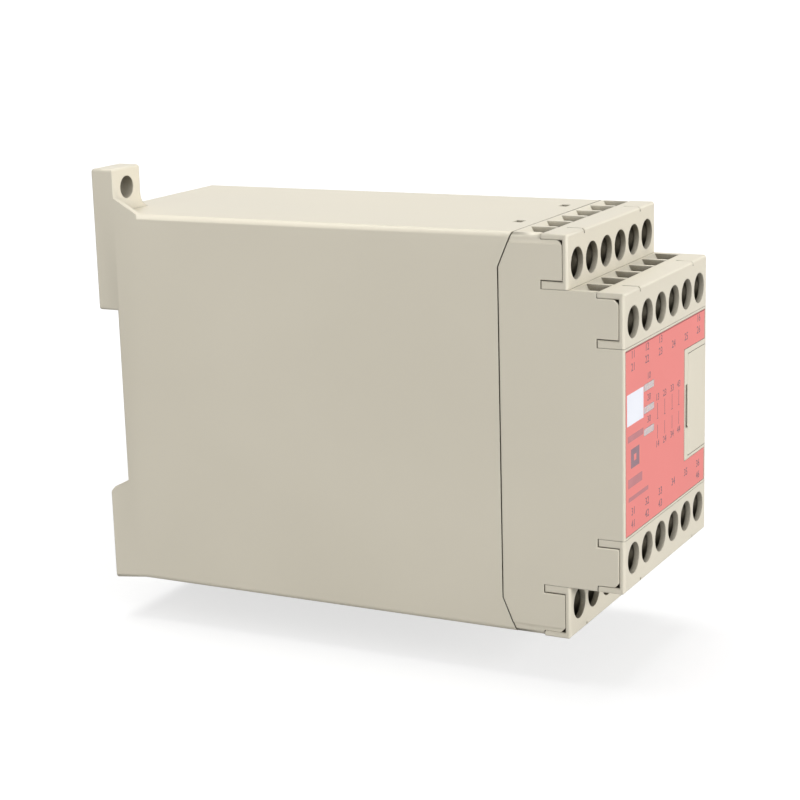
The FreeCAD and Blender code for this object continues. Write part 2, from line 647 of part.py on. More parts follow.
def make_bays(body, tier):
    """Terminal bays of a tier, each with a lead-in ramp and a slot for the solder tail."""
    floor = level(1, tier, "bay_floor")
    back = depth(tier, "plate_seat + plate_thick")
    bay = cut_slab(body, f"{tier}_bay", "YZ",
                   f"{FIRST_WAY} - bay_wide / 2", f"{FIRST_WAY} + bay_wide / 2", [
                       (depth(tier, "bay_deep"), level(1, tier, "tier_tall + 1")),
                       (depth(tier, "bay_deep"), level(1, tier, "tier_tall")),
                       (back, level(1, tier, "tier_tall - ramp_drop")),
                       (back, floor),
                       (depth(tier, "0"), floor),
                       (depth(tier, "0"), level(1, tier, "tier_tall + 1")),
                   ])
    behind = "-split_mid" if tier == "rear" else depth(tier, "bay_deep + front_wall + 0.5")
    slot = cut_slab(body, f"{tier}_tail_slot", "XZ", f"{back} - 0.1", behind,
                    rectangle((f"{FIRST_WAY} - tail_wide / 2 - 0.1", floor),
                              (f"{FIRST_WAY} + tail_wide / 2 + 0.1",
                               level(1, tier, "bay_floor + tail_thick + 0.1"))))
    repeat_up_and_down(body, [bay, slot])


def make_cover_seats(body, tier):
    """Seats of the covers of a tier: their top plates, and the fingers at their feet."""
    seat_end = depth(tier, "cover_deep + cover_gap")
    face = depth(tier, "0")
    top_seat = level(1, tier, "tier_tall - cover_thick")
    plate = cut_slab(body, f"{tier}_cover_seat", "YZ", f"-{HALF} - 1", f"{HALF} + 1", [
        (seat_end, level(1, tier, "tier_tall + 1")),
        (seat_end, top_seat),
        (depth(tier, "cover_thick + 0.9"), top_seat),
        (depth(tier, "cover_thick"), level(1, tier, "tier_tall - cover_thick - 0.9")),
        (face, level(1, tier, "tier_tall - cover_thick - 0.9")),
        (face, level(1, tier, "tier_tall + 1")),
    ])
    mirror(body, plate, "XY")
    finger = cut_slab(body, f"{tier}_finger_seat", "YZ", f"{HALF} - finger_thick - 0.05", f"{HALF} + 1", [
        (seat_end, level(1, tier, "0")),
        (seat_end, level(1, tier, "finger_tall + cover_gap")),
        (face, level(1, tier, "finger_tall + cover_gap")),
        (face, level(1, tier, "0")),
    ])
    repeat_up_and_down(body, [finger], rows=False)


def make_label_face(body):
    """Shallow recess for the label, and the three lamp windows."""
    gap = "0.1"
    cut_slab(body, "label_recess", "XZ", "-case_front - 1", "-case_front + label_deep", label_outline(gap))
    window = cut_slab(body, "lamp_window", "XZ", "-case_front - 1", "-case_front + front_wall + 1",
                      window_outline("0"))
    repeat(body, [window], "Z_Axis", "2 * window_pitch", "3")


def label_outline(gap):
    """Label sheet with its notch for the expansion socket, grown by a gap."""
    left = f"-label_left - {gap}"
    right = f"label_right + {gap}"
    notch = f"rim_left - 0.1 + {gap}"
    top = f"label_tall / 2 + {gap}"
    return [
        (left, f"-({top})"),
        (right, f"-({top})"),
        (right, f"-rim_bottom - 0.1 + {gap}"),
        (notch, f"-rim_bottom - 0.1 + {gap}"),
        (notch, f"rim_top + 0.1 - {gap}"),
        (right, f"rim_top + 0.1 - {gap}"),
        (right, top),
        (left, top),
    ]


def window_outline(gap):
    """The lowest lamp window, shrunk by a gap."""
    return rectangle(
        (f"window_middle - window_wide / 2 + {gap}", f"{LOW_WINDOW} - window_tall / 2 + {gap}"),
        (f"window_middle + window_wide / 2 - {gap}", f"{LOW_WINDOW} + window_tall / 2 - {gap}"))


def make_socket(body):
    """Expansion socket at the right edge, with the rebate of its cover and a slot to prise it off."""
    face = "-case_front - 1"
    cut_slab(body, "door_rebate", "XZ", face, "-case_front + front_wall",
             rectangle(("door_left", "-door_bottom"), (f"{HALF} + 1", "door_top")))
    cut_slab(body, "door_side_rebate", "XZ", face, "-case_front + door_side + door_gap",
             rectangle((f"{HALF} - front_wall - 0.05", "-door_bottom"), (f"{HALF} + 1", "door_top")))
    cut_slab(body, "socket", "XZ", face, "-case_front + socket_deep",
             rectangle(("door_left + socket_step", "-door_bottom + socket_step"),
                       (f"{HALF} - front_wall", "door_top - socket_step")))
    cut_slab(body, "pry_slot", "XZ", face, "-case_front + pry_deep",
             rectangle(("door_left - pry_wide", "-pry_tall / 2"), ("door_left + door_gap", "pry_tall / 2")))


def make_snaps(body):
    """Tongues that slide inside the rear case, with wedges that click into its windows."""
    for name, place in (("left", "snap_left"), ("right", "snap_right")):
        for word, side in (("upper", 1), ("lower", -1)):
            outside = f"{TOP} - wall - board_gap / 2"
            inside = f"{outside} - tongue_thick"
            slab(body, f"{word}_{name}_tongue", "YZ",
                 f"{place} - tongue_wide / 2", f"{place} + tongue_wide / 2", [
                     ("-split_end - 1", f"{side} * ({outside})"),
                     ("-split_end - 1", f"{side} * ({inside})"),
                     ("-snap_place + tongue_reach", f"{side} * ({inside})"),
                     ("-snap_place + tongue_reach", f"{side} * ({outside})"),
                 ])
            slab(body, f"{word}_{name}_wedge", "YZ",
                 f"{place} - wedge_wide / 2", f"{place} + wedge_wide / 2", [
                     ("-snap_place - wedge_long / 2", f"{side} * ({inside})"),
                     ("-snap_place - wedge_long / 2", f"{side} * ({outside} + wedge_rise)"),
                     ("-snap_place + wedge_long / 2", f"{side} * ({outside})"),
                     ("-snap_place + wedge_long / 2", f"{side} * ({inside})"),
                 ])


# -------------------------------------------------------------------------------------- terminal covers


def make_terminal_cover(side, tier):
    """Snap-on cover of one row: face with six screwdriver holes, top plate and two side fingers."""
    body = new_body(f"{row_name(side, tier)}_terminal_cover")
    face = depth(tier, "0")
    back = depth(tier, "cover_thick")
    top = level(side, tier, "tier_tall")
    under = level(side, tier, "tier_tall - cover_thick")
    slab(body, "shell", "YZ", f"-{HALF}", HALF, [
        (face, level(side, tier, "0.05")),
        (back, level(side, tier, "0.05")),
        (back, under),
        (depth(tier, "cover_deep"), under),
        (depth(tier, "cover_deep"), top),
        (face, top),
    ])
    finger = slab(body, "finger", "YZ", f"{HALF} - finger_thick", HALF, [
        (depth(tier, "0.3"), level(side, tier, "0.05")),
        (depth(tier, "cover_deep"), level(side, tier, "0.05")),
        (depth(tier, "cover_deep"), level(side, tier, "finger_tall")),
        (depth(tier, "0.3"), level(side, tier, "finger_tall")),
    ])
    mirror(body, finger)
    fillet(body, "edges", "cover_round", lambda middle, edge:
           near(middle.y, face) and (abs(middle.x) > value(HALF) - 0.01 or near(middle.z, top)),
           kind="Chamfer")
    hole = cut_slab(body, "driver_hole", "XZ", f"{face} - 1", f"{back} + 1",
                    polygon((FIRST_WAY, level(side, tier, "screw_level")), "driver_hole", HOLE_SIDES))
    repeat(body, [hole])
    slit = cut_slab(body, "slit", "YZ", "slit_place - slit_wide / 2", "slit_place + slit_wide / 2", [
        (f"{face} - 1", level(side, tier, "tier_tall + 1")),
        (f"{face} - 1", level(side, tier, "tier_tall - slit_down")),
        (f"{face} + 0.6", level(side, tier, "tier_tall - slit_down")),
        (f"{face} + 0.6", level(side, tier, "tier_tall - 0.6")),
        (f"{face} + slit_long", level(side, tier, "tier_tall - 0.6")),
        (f"{face} + slit_long", level(side, tier, "tier_tall + 1")),
    ])
    mirror(body, slit)


# -------------------------------------------------------------------------------------------- terminals


def row_body(name, side, tier, make):
    """One row of like metal pieces, drawn at the first way and repeated along the row."""
    body = doc.addObject("PartDesign::Body", f"{name}_{row_name(side, tier)}")
    make(body, side, tier)
    return body


def rows_together(name, rows, make):
    """All the like pieces of several rows as one sub-part of separate solids."""
    compound = doc.addObject("Part::Compound", name)
    compound.Label = name
    compound.Links = [row_body(name, side, tier, make) for side, tier in rows]
    compound.setExpression("Placement.Base.z", bound("-rail_rise"))
    sub_parts.append(compound)
    settle(compound)


def make_screw(body, side, tier):
    """M3.5 cross-recess screw, driven home on its clamp washer."""
    centre = (FIRST_WAY, level(side, tier, "screw_level"))
    head = slab(body, "head", "XZ", depth(tier, SCREW_BACK), depth(tier, f"{SCREW_BACK} + head_tall"),
                polygon(centre, "screw_head", 10))
    shank = slab(body, "shank", "XZ", depth(tier, f"{SCREW_BACK} + head_tall / 2"),
                 depth(tier, "plate_seat + plate_thick"), polygon(centre, "screw_thread", 6))
    cross = cut_slab(body, "recess", "XZ", depth(tier, f"{SCREW_BACK} - 1"),
                     depth(tier, f"{SCREW_BACK} + recess_deep"), cross_outline(centre))
    repeat(body, [head, shank, cross])


def cross_outline(centre):
    """Twelve corners of the driver recess."""
    arm = "slot_wide / 2"
    reach = "slot_long / 2"
    quarter = [(reach, f"-{arm}"), (reach, arm), (arm, arm)]
    corners = []
    for turn in range(4):
        corners += [(f"{centre[0]} + {across}", f"{centre[1]} + {along}") for across, along in quarter]
        quarter = [(f"-1 * ({along})", across) for across, along in quarter]
    return corners


def make_washer(body, side, tier):
    """Square clamp washer, captive under the screw head."""
    centre = (FIRST_WAY, level(side, tier, "screw_level"))
    low, high = in_order(level(side, tier, "screw_level - washer_tall / 2"),
                         level(side, tier, "screw_level + washer_tall / 2"))
    plate = slab(body, "plate", "XZ", depth(tier, "plate_seat - washer_thick"), depth(tier, "plate_seat"),
                 rectangle((f"{FIRST_WAY} - bay_wide / 2 + bore_gap", low),
                           (f"{FIRST_WAY} + bay_wide / 2 - bore_gap", high)),
                 polygon(centre, "screw_thread + bore_gap", 6))
    repeat(body, [plate])


def make_terminal(body, side, tier):
    """Terminal plate tapped for the screw, bent back at its foot into a narrow solder tail."""
    centre = (FIRST_WAY, level(side, tier, "screw_level"))
    floor = level(side, tier, "bay_floor")
    low, high = in_order(floor, level(side, tier, "tier_tall - ramp_drop - bore_gap / 2"))
    front = depth(tier, "plate_seat")
    back = depth(tier, "plate_seat + plate_thick")
    plate = slab(body, "plate", "XZ", front, back,
                 rectangle((f"{FIRST_WAY} - bay_wide / 2 + bore_gap / 2", low),
                           (f"{FIRST_WAY} + bay_wide / 2 - bore_gap / 2", high)),
                 polygon(centre, "screw_thread + bore_gap / 2", 6))
    tail_low, tail_high = in_order(floor, level(side, tier, "bay_floor + tail_thick"))
    tail = slab(body, "tail", "XZ", f"{back} - plate_thick / 2", "-tail_end",
                rectangle((f"{FIRST_WAY} - tail_wide / 2", tail_low),
                          (f"{FIRST_WAY} + tail_wide / 2", tail_high)))
    repeat(body, [plate, tail])


# ----------------------------------------------------------------------------- label, lamps and socket


def make_front_label():
    """Printed film on the label face, with three windows for the lamps."""
    body = new_body("front_label")
    slab(body, "sheet", "XZ", "-case_front + label_deep - label_thick", "-case_front + label_deep",
         label_outline("0"))
    window = cut_slab(body, "window", "XZ", "-case_front - 1", "-case_front + 1", window_outline("-0.02"))
    repeat(body, [window], "Z_Axis", "2 * window_pitch", "3")


def make_light_guide():
    """Clear moulding behind the face, with three bars that fill the lamp windows."""
    body = new_body("light_guide")
    inside = "-case_front + front_wall"
    slab(body, "plate", "XZ", inside, f"{inside} + guide_thick",
         rectangle(("window_middle - window_wide / 2 - guide_margin",
                    f"{LOW_WINDOW} - window_tall / 2 - guide_margin"),
                   ("window_middle + window_wide / 2 + guide_margin",
                    "window_level + window_tall / 2 + guide_margin")))
    bar = slab(body, "bar", "XZ", "-case_front + label_deep - label_thick", f"{inside} + guide_thick / 2",
               window_outline("0.03"))
    repeat(body, [bar], "Z_Axis", "2 * window_pitch", "3")


def make_receptacle_cover():
    """Snap-off cover of the expansion socket, wrapped round the right edge of the case."""
    body = new_body("receptacle_cover")
    low = "-door_bottom + door_gap"
    high = "door_top - door_gap"
    slab(body, "shell", "XY", low, high, [
        ("door_left + door_gap", "-case_front"),
        (HALF, "-case_front"),
        (HALF, "-case_front + door_side"),
        (f"{HALF} - front_wall", "-case_front + door_side"),
        (f"{HALF} - front_wall", "-case_front + front_wall"),
        ("door_left + door_gap", "-case_front + front_wall"),
    ])
    fillet(body, "corner", "cover_round", lambda middle, edge:
           near(middle.x, HALF) and near(middle.y, "-case_front"), kind="Chamfer")
    for name, side in (("upper_lug", 1), ("lower_lug", -1)):
        edge = "(door_top - socket_step)" if side == 1 else "(-door_bottom + socket_step)"
        low_lug, high_lug = in_order(f"{edge} - {side} * lug_gap", f"{edge} - {side} * (lug_gap + lug_thick)")
        slab(body, name, "YZ", "door_left + lug_place", "door_left + lug_place + lug_wide",
             rectangle(("-case_front + front_wall / 2", low_lug),
                       ("-case_front + front_wall + lug_long", high_lug)))


def make_expansion_header():
    """Shrouded pin header on the floor of the expansion socket."""
    body = new_body("expansion_header")
    back = "-case_front + socket_deep"
    right = "header_left + header_wide"
    slab(body, "shroud", "XZ", f"{back} - header_deep", back,
         rectangle(("header_left", "-header_tall / 2"), (right, "header_tall / 2")))
    cut_slab(body, "cavity", "XZ", f"{back} - header_deep - 1", f"{back} - header_floor",
             rectangle(("header_left + header_wall", "-header_tall / 2 + header_wall"),
                       (f"{right} - header_wall", "header_tall / 2 - header_wall")))
    low = "-(pins - 1) / 2 * pin_pitch - pin_thick / 2"
    columns = [rectangle((f"{middle} - pin_thick / 2", low),
                         (f"{middle} + pin_thick / 2", f"{low} + pin_thick"))
               for middle in ("header_left + pin_inset", f"{right} - pin_inset")]
    pin = slab(body, "pin", "XZ", f"{back} - header_floor / 2 - pin_long", f"{back} - header_floor / 2",
               *columns)
    repeat(body, [pin], "Z_Axis", "(pins - 1) * pin_pitch", "pins")


# --------------------------------------------------------------------------------------------- rail clip


def make_din_clip():
    """Sliding clip in a tee-shaped guide at the foot of the back; its nose holds the rail's lower flange."""
    body = new_body("din_clip")
    nose = f"{NOTCH_BOTTOM} + hook_reach"
    slab(body, "bar", "YZ", "-clip_wide / 2", "clip_wide / 2", [
        ("clip_front", "-clip_end"),
        ("clip_front", f"{NOTCH_BOTTOM} - 1"),
        ("hook_gap", f"{NOTCH_BOTTOM} - 1"),
        ("hook_gap", nose),
        ("hook_gap + hook_lead", nose),
        ("clip_back", f"{NOTCH_BOTTOM} - hook_lead / 2"),
        ("clip_back", "-clip_end"),
    ])
    slab(body, "flanges", "XZ", "clip_front", "clip_step",
         rectangle(("-clip_flange / 2", f"-{TOP} + 1"), ("clip_flange / 2", f"{NOTCH_BOTTOM} - 2.5")))
    slab(body, "stop", "XZ", "clip_front - stop_deep", "clip_front + stop_deep / 2",
         rectangle(("-stop_wide / 2", "-stop_low"), ("stop_wide / 2", "-stop_high")))
    cut_slab(body, "driver_slot", "XZ", "clip_front - 1", "clip_back + 1",
             rectangle(("-driver_wide / 2", "-clip_end + driver_place"),
                       ("driver_wide / 2", "-clip_end + driver_place + driver_tall")))
    fillet(body, "end", "clip_round", lambda middle, edge:
           near(middle.z, "-clip_end") and near(abs(middle.x), "clip_wide / 2"))


# ----------------------------------------------------------------------------------------------- boards

BOARD_FRONT = "(-split_mid + board_back)"


def make_terminal_board():
    """Board across the module that takes the solder tails of all the terminals."""
    body = new_body("terminal_board")
    slab(body, "board", "XZ", BOARD_FRONT, f"{BOARD_FRONT} + board_thick",
         rectangle(("-board_wide / 2", "-board_tall / 2"), ("board_wide / 2", "board_tall / 2")))
    for tier in TIERS:
        hole = cut_slab(body, f"{tier}_tail_hole", "XZ",
                        f"{BOARD_FRONT} - 1", f"{BOARD_FRONT} + board_thick + 1",
                        rectangle((f"{FIRST_WAY} - tail_wide / 2 - 0.1", level(1, tier, "bay_floor - 0.1")),
                                  (f"{FIRST_WAY} + tail_wide / 2 + 0.1",
                                   level(1, tier, "bay_floor + tail_thick + 0.1"))))
        repeat_up_and_down(body, [hole])


def make_side_board(name, side):
    """Board along one side of the case, clear of the solder tails and held at its edges by the ribs."""
    body = new_body(name)
    low, high = in_order(f"{side} * board_place", f"{side} * (board_place + board_thick)")
    slab(body, "board", "YZ", low, high,
         rectangle(("-tail_end + 2 * board_gap", f"-{TOP} + wall + board_gap"),
                   ("-back_wall - board_gap", f"{TOP} - wall - board_gap")))


def make_indicator_board():
    """Small board behind the label face that carries the lamps."""
    body = new_body("indicator_board")
    front = "-case_front + lamp_board_back"
    slab(body, "board", "XZ", front, f"{front} + board_thick",
         rectangle(("-lamp_board_left", "-lamp_board_tall / 2"), ("lamp_board_right", "lamp_board_tall / 2")))


# ------------------------------------------------------------------------------ components on the boards


def off_board(side, foot, top):
    """X of a component's foot and top, in order: side -1 is the power board and 1 the relay board."""
    return in_order(f"{side} * (board_place - {foot})", f"{side} * (board_place - {top})")


def block(name, word, side, foot="0", below=False):
    """A moulded component: a box on its board, sized by the dimensions that start with the word."""
    body = new_body(name)
    left, right = off_board(side, foot, f"{word}_rise")
    low, high = f"{word}_level", f"{word}_level + {word}_tall"
    if below:
        low, high = f"-({high})", f"-{low}"
    slab(body, "case", "XZ", f"-{word}_place", f"-{word}_place + {word}_long",
         rectangle((left, low), (right, high)))
    return body


def can(name, word, side, sides):
    """A round component standing on its board, sized by the dimensions that start with the word."""
    body = new_body(name)
    slab(body, "can", "YZ", *off_board(side, "0", f"{word}_rise"),
         polygon((f"-{word}_place", f"{word}_level"), f"{word}_diameter", sides))


def make_relay(name, below):
    """Force-guided relay: sealed box on the relay board, on rows of pins with feet under its base."""
    body = block(name, "relay", 1, "relay_foot", below)
    fillet(body, "edges", "part_round", lambda middle, edge: near(middle.x, "board_place - relay_rise"))
    low, high = in_order(*(f"{-1 if below else 1} * ({place})" for place in
                           ("relay_level + relay_foot", "relay_level + relay_tall - relay_foot")))
    foot = slab(body, "foot", "YZ", "board_place - 2 * relay_foot", "board_place",
                rectangle(("-relay_place + relay_foot", low), ("-relay_place + 4 * relay_foot", high)))
    repeat(body, [foot], "Y_Axis", "relay_long - 5 * relay_foot", "relay_feet")


def make_transformer():
    """Ferrite core around a taped winding, standing on the power board."""
    base = "-board_place"
    back = "(-core_place + core_long)"
    middle = "(-core_place + core_long / 2)"
    left = f"{base} + core_foot + core_yoke"
    right = f"{base} + core_rise - core_yoke"
    core = new_body("transformer_core")
    slab(core, "frame", "XY", "-core_thick / 2", "core_thick / 2",
         rectangle((f"{base} + core_foot", "-core_place"), (f"{base} + core_rise", back)),
         rectangle((left, "-core_place + core_leg"), (right, f"{middle} - core_middle / 2")),
         rectangle((left, f"{middle} + core_middle / 2"), (right, f"{back} - core_leg")))
    winding = new_body("transformer_winding")
    slab(winding, "coil", "YZ", f"{left} + coil_gap", f"{right} - coil_gap",
         rectangle(("-core_place + core_leg + coil_gap", "-coil_tall / 2"),
                   (f"{back} - core_leg - coil_gap", "coil_tall / 2")),
         rectangle((f"{middle} - core_middle / 2 - coil_gap", "-coil_tall / 2 + coil_wall"),
                   (f"{middle} + core_middle / 2 + coil_gap", "coil_tall / 2 - coil_wall")))
    for name, start in (("front_foot", f"-core_place + core_leg + 2 * coil_gap"),
                        ("rear_foot", f"{back} - core_leg - 2 * coil_gap - foot_long")):
        slab(winding, name, "YZ", base, f"{left} + 2 * coil_gap",
             rectangle((start, "-foot_place"), (f"{start} + foot_long", "-foot_place + foot_tall")),
             rectangle((start, "foot_place - foot_tall"), (f"{start} + foot_long", "foot_place")))


def make_power_parts():
    """Mains side: fuse, surge disc, filter choke, filter capacitor, rectifier and smoothing."""
    base = "-board_place"
    can("input_capacitor", "input", -1, 32)
    can("output_capacitor", "output", -1, 24)
    film = block("film_capacitor", "film", -1)
    fillet(film, "edges", "part_round", lambda middle, edge: near(middle.x, f"{base} + film_rise"))
    disc = new_body("surge_varistor")
    slab(disc, "disc", "XY", "disc_level", "disc_level + disc_thick",
         polygon((f"{base} + disc_diameter / 2", "-disc_place"), "disc_diameter", 24))
    fuse = new_body("mains_fuse")
    slab(fuse, "tube", "XZ", "-fuse_place", "-fuse_place + fuse_long",
         polygon((f"{base} + fuse_rise", "fuse_level"), "fuse_diameter", 16))
    choke = new_body("filter_choke")
    middle = ("-choke_place", "choke_level")
    slab(choke, "ring", "YZ", base, f"{base} + choke_rise",
         polygon(middle, "choke_diameter", 24), polygon(middle, "choke_hole", 24))
    block("bridge_rectifier", "bridge", -1)
    block("switching_transistor", "switch", -1)


def make_logic_parts():
    """Signal side: four optocouplers and the two monitoring circuits on the relay board."""
    optocouplers = block("optocouplers", "opto", 1)
    repeat(optocouplers, [optocouplers.Tip], "Y_Axis", "(optos - 1) * opto_pitch", "optos")
    block("monitoring_chip_1", "chip", 1)
    block("monitoring_chip_2", "chip", 1, below=True)


def make_lamps():
    """Three lamps on the indicator board, close behind the light guide."""
    body = new_body("indicator_lamps")
    board = "-case_front + lamp_board_back"
    lamp = slab(body, "lamp", "XZ", f"{board} - lamp_deep", board,
                rectangle(("window_middle - lamp_wide / 2", f"{LOW_WINDOW} - lamp_tall / 2"),
                          ("window_middle + lamp_wide / 2", f"{LOW_WINDOW} + lamp_tall / 2")))
    repeat(body, [lamp], "Z_Axis", "2 * window_pitch", "3")


def make_board_connectors():
    """Pin strips that join the side boards and the indicator board to the terminal board."""
    body = new_body("board_connectors")
    behind = f"{BOARD_FRONT} + board_thick"
    for name, side in (("power", -1), ("relay", 1)):
        left, right = off_board(side, "0", "strip_thick")
        slab(body, f"{name}_strip", "XZ", behind, f"{behind} + strip_deep",
             rectangle((left, "-strip_tall / 2"), (right, "strip_tall / 2")))
    slab(body, "indicator_strip", "XZ", "-case_front + lamp_board_back + board_thick", BOARD_FRONT,
         rectangle(("-lamp_strip_left", "-lamp_strip_level"),
                   ("lamp_strip_right", "-lamp_strip_level + strip_thick")))


# -------------------------------------------------------------------------------------------- assembly

make_rear_case()
make_front_case()
for row_side, row_tier in ROWS:
    make_terminal_cover(row_side, row_tier)
rows_together("terminal_screws", ROWS, make_screw)
rows_together("clamp_washers", ROWS, make_washer)
rows_together("rear_tier_terminals", [row for row in ROWS if row[1] == "rear"], make_terminal)
rows_together("front_tier_terminals", [row for row in ROWS if row[1] == "front"], make_terminal)
make_front_label()
make_light_guide()
make_receptacle_cover()
make_expansion_header()
make_din_clip()
make_terminal_board()
make_side_board("power_board", -1)
make_side_board("relay_board", 1)
make_indicator_board()
make_relay("safety_relay_1", below=False)
make_relay("safety_relay_2", below=True)
make_transformer()
make_power_parts()
make_logic_parts()
make_lamps()
make_board_connectors()
doc.recompute()

for item in doc.Objects:
    if {"Invalid", "Error"} & set(item.State):
        raise RuntimeError(f"{item.Name}: {item.State}")
os.makedirs("parts", exist_ok=True)
for part in sub_parts:
    if part.Shape.isNull() or not part.Shape.isValid():
        raise RuntimeError(f"{part.Label} has no sound shape")
    part.Shape.exportStep(f"parts/{part.Label}.step")
    box = part.Shape.BoundBox
    print(f"{part.Label}: {len(part.Shape.Solids)} solids, {part.Shape.Volume:.0f} mm3, "
          f"{box.XMin:.2f} {box.YMin:.2f} {box.ZMin:.2f} to {box.XMax:.2f} {box.YMax:.2f} {box.ZMax:.2f}")
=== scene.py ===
import math

import bmesh
import bpy
from mathutils import Matrix, Vector
from mathutils.geometry import intersect_point_line


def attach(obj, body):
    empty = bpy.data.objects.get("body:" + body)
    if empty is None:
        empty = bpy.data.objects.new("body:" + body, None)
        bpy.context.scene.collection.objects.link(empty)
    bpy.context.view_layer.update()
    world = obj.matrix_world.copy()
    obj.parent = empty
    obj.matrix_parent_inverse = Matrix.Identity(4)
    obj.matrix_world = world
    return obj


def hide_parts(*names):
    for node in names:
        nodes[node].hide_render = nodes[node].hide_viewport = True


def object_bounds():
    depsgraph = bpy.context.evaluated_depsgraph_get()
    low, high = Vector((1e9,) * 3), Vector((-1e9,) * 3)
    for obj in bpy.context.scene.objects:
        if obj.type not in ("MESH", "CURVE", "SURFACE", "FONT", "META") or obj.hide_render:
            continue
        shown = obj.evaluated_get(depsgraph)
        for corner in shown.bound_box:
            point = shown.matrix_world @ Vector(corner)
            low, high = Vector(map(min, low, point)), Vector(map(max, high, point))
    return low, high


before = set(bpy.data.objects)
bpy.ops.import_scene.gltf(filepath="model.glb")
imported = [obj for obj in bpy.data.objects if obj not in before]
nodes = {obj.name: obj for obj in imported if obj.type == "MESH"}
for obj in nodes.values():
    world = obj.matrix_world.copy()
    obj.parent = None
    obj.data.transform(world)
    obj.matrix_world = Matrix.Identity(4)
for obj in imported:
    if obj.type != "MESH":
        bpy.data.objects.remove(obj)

packed_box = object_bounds()

# ---------------------------------------------------------------------------------------- rear case
# Deep box that carries the boards, the fixing ears and the rail hooks. It is injection moulded in a warm
# light grey ABS blend, in a spark-eroded tool, and all its outer edges leave the tool slightly rounded.

MM = 0.001
CASE_ROUNDING = 0.4
# The joint between the two cases: an axis, and where the joint starts and ends on it.
SPLIT = (1, -88.0, -80.0)


def colour(code):
    """Linear red, green, blue and alpha of an sRGB hex colour."""
    parts = [int(code[i:i + 2], 16) / 255 for i in (1, 3, 5)]
    return [part / 12.92 if part <= 0.04045 else ((part + 0.055) / 1.055) ** 2.4 for part in parts] + [1.0]


def add_node(tree, kind, values={}, links={}, **properties):
    """A node with its properties and socket values set, and linked from the outputs of others."""
    node = tree.nodes.new(kind)
    for name, setting in properties.items():
        setattr(node, name, setting)
    for socket, value in values.items():
        node.inputs[socket].default_value = value
    for socket, output in links.items():
        tree.links.new(output, node.inputs[socket])
    return node


# Painted shade in holes and seams: how far walls shade each other, and the openness at which the painted
# shade is full or gone. The two tones of a surface change between the patch ends of its cloud.
SHADE_REACH = 12.0
SHADE_FULL = 0.12
SHADE_NONE = 0.55
SHADE_CURVE = 1.5
SHADE_SAMPLES = 8
SOFT_EDGE_SAMPLES = 4
PATCH_ENDS = (0.3, 0.7)


def finish(name, deep, pale, patch, rough, grit, rise, painted_shade=None, soft_edge=0.0, **shader):
    """A manufactured surface: two close tones in patches, a gloss that wanders a little, and a grain.

    The patches, the grit and its rise are in millimetres. The painted shade is a dark tone painted deep in
    holes, slots and seams, by how closed in each point is by its own walls: it stands in for the light that
    does not reach there. The soft edge is the small radius that the tool leaves on every edge that is too
    short to be modelled round.
    """
    material = bpy.data.materials.new(name)
    material.use_nodes = True
    tree = material.node_tree
    surface = tree.nodes["Principled BSDF"]
    for socket, value in shader.items():
        surface.inputs[socket.replace("_", " ")].default_value = value
    place = add_node(tree, "ShaderNodeTexCoord").outputs["Object"]
    cloud = add_node(tree, "ShaderNodeTexNoise", {"Scale": 1 / (patch * MM)}, {"Vector": place})
    cloud = cloud.outputs["Fac"]
    skin = add_node(tree, "ShaderNodeValToRGB", links={"Fac": cloud})
    for stop, (share, tone) in zip(skin.color_ramp.elements, zip(PATCH_ENDS, (deep, pale))):
        stop.position = share
        stop.color = colour(tone)
    skin = skin.outputs["Color"]
    # Painted shade: the occlusion, mapped and curved, mixes the dark tone into the surface's own colour.
    if painted_shade:
        depth = add_node(tree, "ShaderNodeAmbientOcclusion", {"Distance": SHADE_REACH * MM},
                         samples=SHADE_SAMPLES)
        light = add_node(tree, "ShaderNodeMapRange", {"From Min": SHADE_FULL, "From Max": SHADE_NONE},
                         {"Value": depth.outputs["AO"]}).outputs["Result"]
        light = add_node(tree, "ShaderNodeMath", {1: SHADE_CURVE}, {0: light}, operation="POWER")
        skin = add_node(tree, "ShaderNodeMixRGB", {"Color1": colour(painted_shade)},
                        {"Fac": light.outputs["Value"], "Color2": skin}).outputs["Color"]
    gloss = add_node(tree, "ShaderNodeMapRange",
                     {"From Min": PATCH_ENDS[0], "From Max": PATCH_ENDS[1],
                      "To Min": rough[0], "To Max": rough[1]},
                     {"Value": cloud}).outputs["Result"]
    grain = add_node(tree, "ShaderNodeTexNoise", {"Scale": 1 / (grit * MM)}, {"Vector": place})
    bump = add_node(tree, "ShaderNodeBump", {"Distance": rise * MM}, {"Height": grain.outputs["Fac"]})
    if soft_edge:
        eased = add_node(tree, "ShaderNodeBevel", {"Radius": soft_edge * MM}, samples=SOFT_EDGE_SAMPLES)
        tree.links.new(eased.outputs["Normal"], bump.inputs["Normal"])
    for socket, output in (("Base Color", skin), ("Roughness", gloss), ("Normal", bump.outputs["Normal"])):
        tree.links.new(output, surface.inputs[socket])
    return material


# Faces that turn by less than this from one to the next are one flat or curved region.
REGION_ANGLE = math.radians(12)


def sharp_borders(mesh):
    """For each face, the sharp edges around the flat or gently curved region that it belongs to."""
    borders = {}
    for start in mesh.faces:
        if start in borders:
            continue
        border = set()
        borders[start] = border
        stack = [start]
        while stack:
            for edge in stack.pop().edges:
                if edge.calc_face_angle(0) > REGION_ANGLE:
                    border.add(edge)
                    continue
                for other in edge.link_faces:
                    if other not in borders:
                        borders[other] = border
                        stack.append(other)
    return borders


# The room is taken at steps along the edge. A neighbour that runs on in nearly the same line is no end.
ROOM_SAMPLES = 6
SAME_LINE = 0.9


